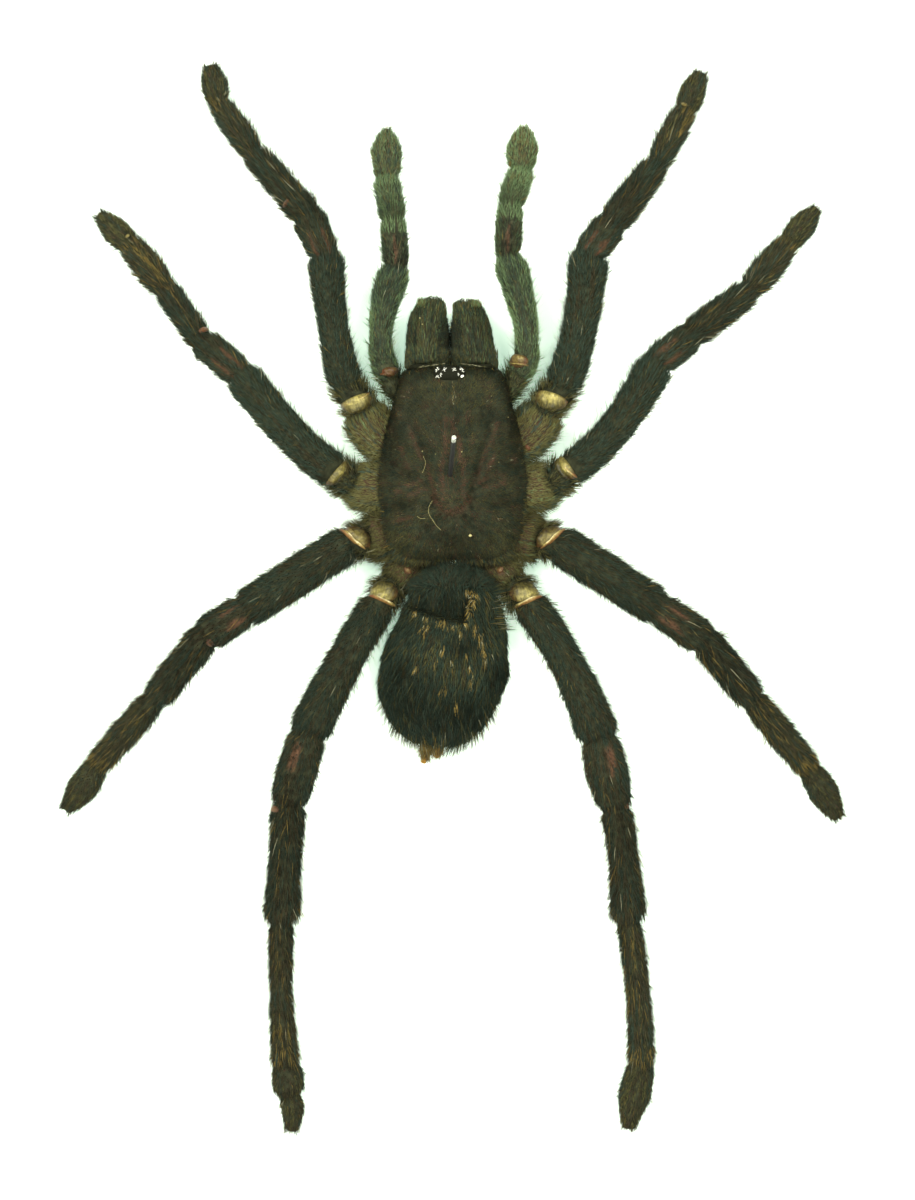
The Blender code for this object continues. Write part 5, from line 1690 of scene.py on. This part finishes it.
def abdomen_surface():
    rows = smooth_rows(ABDOMEN, ABDOMEN_RINGS)
    y, x, width, top, below = rows.T
    centres = np.stack((x, y, (top + below) / 2), axis=-1)
    half_widths = np.maximum(width / 2 - ABDOMEN_FUR_DEPTH, 0.35)
    half_heights = np.maximum((top - below) / 2 - ABDOMEN_FUR_DEPTH, 0.35)
    ways = np.tile((0.0, -1.0, 0.0), (len(rows), 1))
    points = rings_round(centres, ways, half_widths, half_heights, ABDOMEN_SIDES)
    points[..., 2] -= sunk(points)
    bulge = 0.16 * wobble(points, 2.4, 61) + 0.06 * wobble(points, 0.9, 62)
    points = points + unit(points - centres[:, None, :]) * bulge[:, :, None]
    points[..., 2] = np.maximum(points[..., 2], ABDOMEN_GAP)
    return Surface(points)


def make_abdomen():
    surface = abdomen_surface()
    skin = shared("abdomen_cuticle", chitin_material, 0.6, 0.6)
    skin_piece("abdomen_skin", surface.points, skin, ("abdomen",))
    fur = Fur(71)
    add_abdomen_coat(surface, fur)
    _, y, z = np.moveaxis(surface.points, -1, 0)
    fur.grow(surface, GUARD_COAT, z > 0.8, fur.bristle, droop=0.5)
    fur.grow(surface, WAIST_COAT, np.clip((y - 0.8) / 1.2, 0, 1) * (z > 4.4), fur.fine,
             lambda points, ways: points * (0.6, 0.0, 0.0) - ways)
    add_rear_fringe(surface, fur)
    add_gold_tufts(surface, fur)
    fur.build("abdomen_fur", shared("abdomen_hair", hair_material, 0.6, 0.03))


def add_abdomen_coat(surface, fur):
    rng = fur.rng
    heights = surface.points[..., 2]
    underside = np.where(surface.normals[..., 2] < -0.3, 0.35, 1.0)
    roots, lie, _, u, v = fur.sow(surface, 18.0 * underside * (heights > 0.3), 16, 0.22)
    count = len(u)
    strand = roots * (1.0, 0.18, 1.0)
    streak = wobble(strand, 0.45, 72)
    blotch = wobble(roots, 2.0, 73)
    olive = near_spots(roots, OLIVE_LOBES)
    dark = near_spots(roots, SHADED_HOLLOWS)
    side = np.clip(1 - surface.read(surface.normals, u, v)[:, 2], 0, 1)
    ahead, gap = from_crease(roots)
    shade = np.exp(-(gap / 0.55) ** 2) * (ahead > -0.05) * (roots[:, 0] > -5.6)
    lit = np.exp(-((ahead + 0.45) / 0.4) ** 2) * (gap < 1.0) * (roots[:, 0] > -5.4)
    weights = {
        "teal": 0.80 - 0.25 * olive,
        "olive": 0.08 + 0.26 * olive + 0.1 * lit,
        "brown": 0.06 + 0.08 * olive,
    }
    colours = pick(weights, streak + rng.normal(0, 0.7, count))
    # Painted light and shade: lighter just behind the crease, and darker in the crease, in the hollows and
    # down the sides
    tones = 0.29 + 0.06 * blotch + 0.03 * streak + 0.19 * olive + 0.14 * lit - 0.30 * dark - 0.14 * side
    tones += rng.normal(0, 0.04, count) - 0.42 * shade
    fur.add(roots, lie, rng.uniform(0.9, 1.5, count), fur.fine, colours, tones)


def add_rear_fringe(surface, fur):
    """Long fine hairs that stand out past the rear edge and the right front edge."""
    rng = fur.rng
    x, y, z = np.moveaxis(surface.points, -1, 0)
    outward = 1 - np.abs(surface.normals[..., 2])
    rear = (y < -12.5) * outward ** 3 * (z > 1.5) * np.clip((-12.0 - y) / 5.0, 0.2, 1.3)
    right_front = (x > 5.0) * (y > -4.0) * (y < 1.5) * (z > 5.0)
    roots, lie, ways, _, _ = fur.sow(surface, 24.0 * rear + 10.0 * right_front, 30, 0.3)
    count = len(roots)
    lie = unit(unit((roots - ABDOMEN_MIDDLE) * (1.0, 1.0, 0.0)) + 0.5 * lie + 0.3 * ways)
    by_tail = near_spots(roots, (TAIL_TUFT,))
    weights = {"teal": 0.46 - 0.4 * by_tail, "olive": 0.40, "gold": 0.06 + by_tail, "pale": 0.08}
    colours = fur.draw(weights, count)
    fur.add(roots, lie, rng.uniform(1.1, 3.0, count), fur.bristle, colours, rng.uniform(0.1, 0.5, count))


def add_gold_tufts(surface, fur):
    rng = fur.rng
    on_back = surface.points[..., 2] > BACK_HEIGHT - 1.0
    wider = [(place, (across + 0.4, along + 0.3)) for place, (across, along) in GOLD_TUFTS]
    near = near_spots(surface.points, wider)
    roots, lie, _, _, _ = fur.sow(surface, 60.0 * (near > 0.2) * on_back, 14, 0.2)
    ragged = near_spots(roots, GOLD_TUFTS) + 0.35 * wobble(roots * (1.0, 0.25, 1.0), 0.16, 76)
    chosen = ragged > rng.uniform(0.35, 0.95, len(roots))
    roots, lie = roots[chosen], lie[chosen]
    count = len(roots)
    colours = fur.draw({"gold": 0.9, "pale": 0.1}, count)
    fur.add(roots, lie, rng.uniform(0.5, 1.2, count), fur.fine, colours, rng.uniform(0.3, 0.95, count))


# Left and right edges of the jaws at places along Y, with top and underside heights
CHELICERAE = {
    "chelicera_left": (
        (30.45, -6.1, -0.5, 8.6, 2.4),
        (32.3, -6.1, -0.5, 9.4, 1.9),
        (34.3, -6.0, -0.5, 9.4, 1.9),
        (35.7, -5.8, -0.6, 9.0, 2.2),
        (37.2, -5.3, -0.7, 8.2, 3.4),
        (38.3, -4.5, -0.9, 7.2, 4.4),
        (38.8, -3.6, -1.4, 6.4, 5.0),
    ),
    "chelicera_right": (
        (30.45, -0.15, 5.8, 8.6, 2.4),
        (32.3, -0.15, 5.6, 9.4, 1.9),
        (34.3, -0.15, 5.2, 9.4, 1.9),
        (35.7, -0.1, 4.9, 9.0, 2.2),
        (37.0, -0.05, 4.4, 8.2, 3.4),
        (38.0, 0.0, 3.7, 7.2, 4.4),
        (38.5, 0.6, 2.9, 6.4, 5.0),
    ),
}
JAW_FUR_DEPTH = 0.22
JAW_SEED = 81
# Dark lines along the backs of the jaws
JAW_FURROWS = (((-2.6, 38.0), (-2.9, 33.0)), ((-4.4, 37.0), (-4.9, 32.5)), ((2.3, 37.8), (3.2, 31.6)),
               ((3.0, 37.6), (4.0, 33.2)))
# A comb that points forwards beyond JAW_FRONT, and dark hair on the inner side, which closes the
# seam between the jaws but for its front: its darkness is painted shade of the seam
JAW_FRONT = 37.0
COMB_COAT = PlainCoat(9.0, 18, 0.22, (0.6, 1.1), {"olive": 0.5, "teal": 0.3, "gold": 0.2}, (0.3, 0.8))
SEAM_COAT = PlainCoat(60.0, 62, 0.2, (0.5, 0.8), {"teal": 0.6, "brown": 0.4}, (0.0, 0.2))
# Places of the yellow-green tufts at the outer front corners, and hairs in each
CORNER_HAIRS = 170
JAW_TUFTS = {"chelicera_left": (-4.1, 38.2, 7.4), "chelicera_right": (3.1, 38.0, 7.4)}


def make_jaw(name, seed):
    rows = smooth_rows(CHELICERAE[name], 44)
    y, left, right, top, below = rows.T
    centres = np.stack(((left + right) / 2, y, (top + below) / 2), axis=-1)
    ways = np.tile((0.0, 1.0, 0.0), (len(rows), 1))
    half_widths = (right - left) / 2 - JAW_FUR_DEPTH
    half_heights = (top - below) / 2 - JAW_FUR_DEPTH
    points = rings_round(centres, ways, half_widths, half_heights, 44)
    ridges = 0.05 * wobble(points * (1.0, 0.12, 1.0), 0.45, seed)
    points = points + unit(points - centres[:, None, :]) * ridges[:, :, None]
    surface = Surface(points)
    skin_piece(f"skin_{name}", points, shared("jaw_chitin", chitin_material, 1.1, 0.5), (name,))
    fur = Fur(seed + 1)
    add_jaw_coat(surface, fur, seed)
    _, y, z = np.moveaxis(points, -1, 0)
    fur.grow(surface, COMB_COAT, (y > JAW_FRONT) * (z > 4.0), fur.bristle,
             lambda points, ways: ways * 0.2 + (0.0, 1.0, 0.0))
    inward = -1.0 if name == "chelicera_right" else 1.0
    facing = surface.normals[..., 0] * inward > 0.6
    fur.grow(surface, SEAM_COAT, facing * np.clip((36.4 - y) / 2.5, 0, 1), fur.fine)
    add_jaw_base(fur, left[0] - 0.1, right[0] + 0.1)
    add_corner_tuft(fur, np.array(JAW_TUFTS[name]))
    fur.build(f"fur_{name}", shared("jaw_hair", hair_material, 0.55, 0.06))


def add_jaw_coat(surface, fur, seed):
    """Short hair combed forwards, in fine strands."""
    rng = fur.rng
    underside = np.where(surface.normals[..., 2] < -0.2, 0.4, 1.0)
    roots, lie, _, u, v = fur.sow(surface, 36.0 * underside, 11, 0.08)
    count = len(u)
    streak = wobble(roots * (1.0, 0.06, 0.3), 0.28, seed + 2)
    blotch = wobble(roots, 1.6, seed + 3)
    side = np.clip(1 - surface.read(surface.normals, u, v)[:, 2], 0, 1)
    front = np.clip((roots[:, 1] - 34.0) / 4.0, 0, 1)
    weights = {
        "teal": 0.34 - 0.1 * blotch + 0.3 * side,
        "sage": 0.12 + 0.08 * front,
        "olive": 0.26 + 0.1 * blotch,
        "brown": 0.28 + 0 * side,
    }
    colours = pick(weights, 0.5 * streak + rng.normal(0, 0.9, count))
    furrow = near_lines(roots, JAW_FURROWS, 0.16)
    # Darker hair down the sides: painted shade
    tones = 0.44 + 0.05 * streak + 0.03 * blotch + 0.03 * front - 0.14 * side - 0.24 * furrow
    tones += rng.normal(0, 0.06, count)
    fur.add(roots, lie, rng.uniform(0.7, 1.2, count), fur.fine * 0.8, colours, tones)


def add_corner_tuft(fur, corner):
    rng = fur.rng
    count = int(CORNER_HAIRS * fur.density)
    roots = corner + rng.normal(0, 1, (count, 3)) * (0.28, 0.2, 0.4)
    lie = np.array((0.0, 1.0, 0.15)) + rng.normal(0, 0.2, (count, 3))
    colours = fur.draw({"olive": 0.55, "sage": 0.45}, count)
    fur.add(roots, lie, rng.uniform(0.5, 0.9, count), fur.bristle, colours, rng.uniform(0.4, 0.75, count))


# Middle of the jaw over each fang, and the way inwards from it
FANG_SIDES = {"fang_left": (-2.9, 1.0), "fang_right": (2.5, -1.0)}
# Fang: place along Y, height, radius, and inward drift from its jaw's middle
FANG = (
    (38.0, 2.8, 0.85, 0.0),
    (38.1, 1.9, 0.80, 0.0),
    (37.0, 1.15, 0.68, 0.2),
    (35.4, 0.95, 0.50, 0.5),
    (33.6, 1.0, 0.32, 0.8),
    (32.2, 1.15, 0.10, 1.0),
)


def make_fang(name, jaw_middle, inward):
    """A glossy hook, folded back under its jaw."""
    y, z, radii, drift = smooth_rows(FANG, 36).T
    centres = np.stack((jaw_middle + inward * drift, y, z), axis=-1)
    side = np.array((1.0, 0.0, 0.0))
    lift = unit(np.cross(side, unit(np.gradient(centres, axis=0))))
    angles = np.arange(24) * math.tau / 24
    round_way = np.cos(angles)[None, :, None] * side + np.sin(angles)[None, :, None] * lift[:, None, :]
    grid = centres[:, None, :] + np.maximum(radii, 0.04)[:, None, None] * round_way
    # Horn: nearly black, smooth and glossy
    tint = bpy.context.scene.specimen_finish.fang
    horn = shared("fang_horn", hard_material, tint, 0.16, 0.0, 0.6, 0.5)
    skin_piece(f"horn_{name}", grid, horn, (name,))


# Spinnerets: root, tip and radius, and the places and widths along them that make two joints
SPINNERETS = {
    "spinneret_left": ((-3.2, -18.9, 2.6), (-3.8, -21.5, 2.2), 0.62),
    "spinneret_right": ((-1.7, -19.2, 2.6), (-2.1, -20.8, 2.3), 0.50),
}
SPINNERET_SEED = 91
SPINNERET_PROFILE = (
    (0.0, 1.1), (0.1, 1.15), (0.4, 1.05), (0.5, 0.86), (0.56, 0.74), (0.62, 0.80), (0.85, 0.68),
    (0.97, 0.52), (1.0, 0.40),
)
TUFT_COAT = PlainCoat(70.0, 26, 0.3, (0.6, 1.5), {"brown": 0.30, "olive": 0.10, "gold": 0.6}, (0.0, 0.8))


def make_spinneret(name, seed):
    root, tip, radius = SPINNERETS[name]
    root, tip = np.array(root), np.array(tip)
    place = np.linspace(0.0, 1.0, 30)
    sizes = np.interp(place, *zip(*SPINNERET_PROFILE)) * radius
    centres = root + (tip - root) * place[:, None]
    points = rings_round(centres, np.tile(tip - root, (len(place), 1)), sizes, sizes * 0.8, 20)
    points = points + 0.04 * wobble(points, 0.4, seed)[:, :, None]
    surface = Surface(points)
    # Amber cuticle, dull and wrinkled
    amber = shared("spinneret_cuticle", hard_material, srgb("8a6422"), 0.5, 0.0, 0.2, 0.0, 0.6, 0.05)
    skin_piece(f"skin_{name}", points, amber, (name,))
    fur = Fur(seed)
    fur.grow(surface, TUFT_COAT, (place < 0.7)[:, None], fur.bristle)
    fur.build(f"fur_{name}", shared("spinneret_hair", hair_material, 0.5, 0.12))


# Stage
FLOOR_HALF = 2.0  # half the floor's side in metres
# Softboxes: name, place in metres, and power over that of the main one
SOFTBOXES = (
    ("left_softbox", (-0.45, 0.25, 0.75), 1.0),
    ("right_softbox", (0.45, 0.25, 0.75), 0.7),
    ("rear_softbox", (0.0, -0.55, 0.75), 0.55),
)
SOFTBOX_SIDE = 0.5


def make_floor():
    bm = bmesh.new()
    bmesh.ops.create_grid(bm, x_segments=1, y_segments=1, size=FLOOR_HALF)
    mesh = bpy.data.meshes.new("floor")
    bm.to_mesh(mesh)
    bm.free()
    mesh.materials.append(floor_material("opal_acrylic"))
    floor = bpy.data.objects.new("floor", mesh)
    bpy.context.scene.collection.objects.link(floor)


def make_lights():
    scene = bpy.context.scene
    settings = scene.specimen_stage
    for name, place, share in SOFTBOXES:
        light = bpy.data.lights.new(name, "AREA")
        light.shape = "SQUARE"
        light.size = SOFTBOX_SIDE
        light.energy = settings.softbox_power * share
        light.color = srgb("fffdf0")[:3]
        lamp = bpy.data.objects.new(name, light)
        lamp.location = place
        lamp.rotation_euler = (-lamp.location).to_track_quat("-Z", "Y").to_euler()
        scene.collection.objects.link(lamp)
    world = bpy.data.worlds.new("studio")
    world.use_nodes = True
    background = world.node_tree.nodes["Background"]
    background.inputs["Color"].default_value = srgb("fafff2")
    background.inputs["Strength"].default_value = settings.sky_strength
    scene.world = world
    scene.view_settings.view_transform = "Standard"


def make_camera():
    """A long lens straight above the specimen, framed as the photograph is."""
    scene = bpy.context.scene
    height = scene.specimen_stage.camera_height
    camera_data = bpy.data.cameras.new("camera")
    camera_data.sensor_width = SENSOR
    camera_data.lens = SENSOR * (height / MM - LEG_HEIGHT) / (PHOTO_HEIGHT * PHOTO_SCALE)
    camera_data.clip_end = 10.0
    camera = bpy.data.objects.new("camera", camera_data)
    x = (PHOTO_WIDTH / 2 - PHOTO_ORIGIN[0]) * PHOTO_SCALE
    y = (PHOTO_ORIGIN[1] - PHOTO_HEIGHT / 2) * PHOTO_SCALE
    camera.location = (x * MM, y * MM, height)
    scene.collection.objects.link(camera)
    scene.camera = camera


# Operators and panel

class SPECIMEN_OT_stage(bpy.types.Operator):
    """Lay the floor, set the lights and place the camera."""

    bl_idname = "specimen.stage"
    bl_label = "Set Stage"

    def execute(self, context):
        make_floor()
        make_lights()
        make_camera()
        return {"FINISHED"}


class SPECIMEN_OT_limbs(bpy.types.Operator):
    """Make the skins and fur of the legs and palps."""

    bl_idname = "specimen.limbs"
    bl_label = "Make Legs and Palps"

    def execute(self, context):
        for name in LIMBS:
            limb = Limb(name)
            make_limb_skin(limb)
            grow_limb_fur(limb)
        return {"FINISHED"}


class SPECIMEN_OT_membranes(bpy.types.Operator):
    """Make the dried membranes and bare patches of the legs and palps."""

    bl_idname = "specimen.membranes"
    bl_label = "Make Membranes"

    def execute(self, context):
        limbs = {name: Limb(name) for name in LIMBS}
        for name in MEMBRANES:
            make_membrane(limbs[name])
        make_patches(limbs)
        return {"FINISHED"}


class SPECIMEN_OT_claws(bpy.types.Operator):
    """Make the claws at the tips of the legs."""

    bl_idname = "specimen.claws"
    bl_label = "Make Claws"

    def execute(self, context):
        make_claws()
        return {"FINISHED"}


class SPECIMEN_OT_carapace(bpy.types.Operator):
    """Make the shield of the front body with its velvet."""

    bl_idname = "specimen.carapace"
    bl_label = "Make Carapace"

    def execute(self, context):
        make_carapace()
        return {"FINISHED"}


class SPECIMEN_OT_eyes(bpy.types.Operator):
    """Make the eye mound and the eight eyes."""

    bl_idname = "specimen.eyes"
    bl_label = "Make Eyes"

    def execute(self, context):
        make_eyes()
        return {"FINISHED"}


class SPECIMEN_OT_sternum(bpy.types.Operator):
    """Make the plate and the lip under the front body."""

    bl_idname = "specimen.sternum"
    bl_label = "Make Sternum"

    def execute(self, context):
        make_sternum()
        return {"FINISHED"}


class SPECIMEN_OT_abdomen(bpy.types.Operator):
    """Make the creased rear body with its fur."""

    bl_idname = "specimen.abdomen"
    bl_label = "Make Abdomen"

    def execute(self, context):
        make_abdomen()
        return {"FINISHED"}


class SPECIMEN_OT_jaws(bpy.types.Operator):
    """Make the furred jaws and their fangs."""

    bl_idname = "specimen.jaws"
    bl_label = "Make Jaws and Fangs"

    def execute(self, context):
        for number, name in enumerate(CHELICERAE):
            make_jaw(name, JAW_SEED + 4 * number)
        for name, (middle, inward) in FANG_SIDES.items():
            make_fang(name, middle, inward)
        return {"FINISHED"}


class SPECIMEN_OT_spinnerets(bpy.types.Operator):
    """Make the two spinnerets with their tufts."""

    bl_idname = "specimen.spinnerets"
    bl_label = "Make Spinnerets"

    def execute(self, context):
        for number, name in enumerate(SPINNERETS):
            make_spinneret(name, SPINNERET_SEED + 4 * number)
        return {"FINISHED"}


class SPECIMEN_OT_pin(bpy.types.Operator):
    """Make the trimmed insect pin."""

    bl_idname = "specimen.pin"
    bl_label = "Make Pin"

    def execute(self, context):
        make_pin()
        return {"FINISHED"}


class SPECIMEN_OT_dust(bpy.types.Operator):
    """Drop the fibres and specks that lie on the specimen."""

    bl_idname = "specimen.dust"
    bl_label = "Make Dust"

    def execute(self, context):
        make_dust()
        return {"FINISHED"}


OPERATORS = (
    SPECIMEN_OT_stage,
    SPECIMEN_OT_limbs,
    SPECIMEN_OT_membranes,
    SPECIMEN_OT_claws,
    SPECIMEN_OT_carapace,
    SPECIMEN_OT_eyes,
    SPECIMEN_OT_sternum,
    SPECIMEN_OT_abdomen,
    SPECIMEN_OT_jaws,
    SPECIMEN_OT_spinnerets,
    SPECIMEN_OT_pin,
    SPECIMEN_OT_dust,
)


class SPECIMEN_PT_panel(bpy.types.Panel):
    """Settings of the specimen, and a button for each of its steps."""

    bl_idname = "SPECIMEN_PT_panel"
    bl_label = "Pinned Tarantula"
    bl_space_type = "VIEW_3D"
    bl_region_type = "UI"
    bl_category = "Specimen"

    def draw(self, context):
        for group in SETTINGS:
            settings = getattr(context.scene, group)
            box = self.layout.box()
            for name in settings.bl_rna.properties.keys():
                if name not in ("rna_type", "name"):
                    box.prop(settings, name)
        for operator in OPERATORS:
            self.layout.operator(operator.bl_idname)


SETTINGS = {
    "specimen_hair": SpecimenHair,
    "specimen_finish": SpecimenFinish,
    "specimen_stage": SpecimenStage,
}


def register():
    for group in SETTINGS.values():
        bpy.utils.register_class(group)
    for name, group in SETTINGS.items():
        setattr(bpy.types.Scene, name, PointerProperty(type=group))
    for operator in OPERATORS:
        bpy.utils.register_class(operator)
    bpy.utils.register_class(SPECIMEN_PT_panel)


def unregister():
    bpy.utils.unregister_class(SPECIMEN_PT_panel)
    for operator in reversed(OPERATORS):
        bpy.utils.unregister_class(operator)
    for name, group in SETTINGS.items():
        delattr(bpy.types.Scene, name)
        bpy.utils.unregister_class(group)


def main():
    """Make every piece."""
    register()
    for operator in OPERATORS:
        group, name = operator.bl_idname.split(".")
        getattr(getattr(bpy.ops, group), name)()


if __name__ == "__main__":
    main()
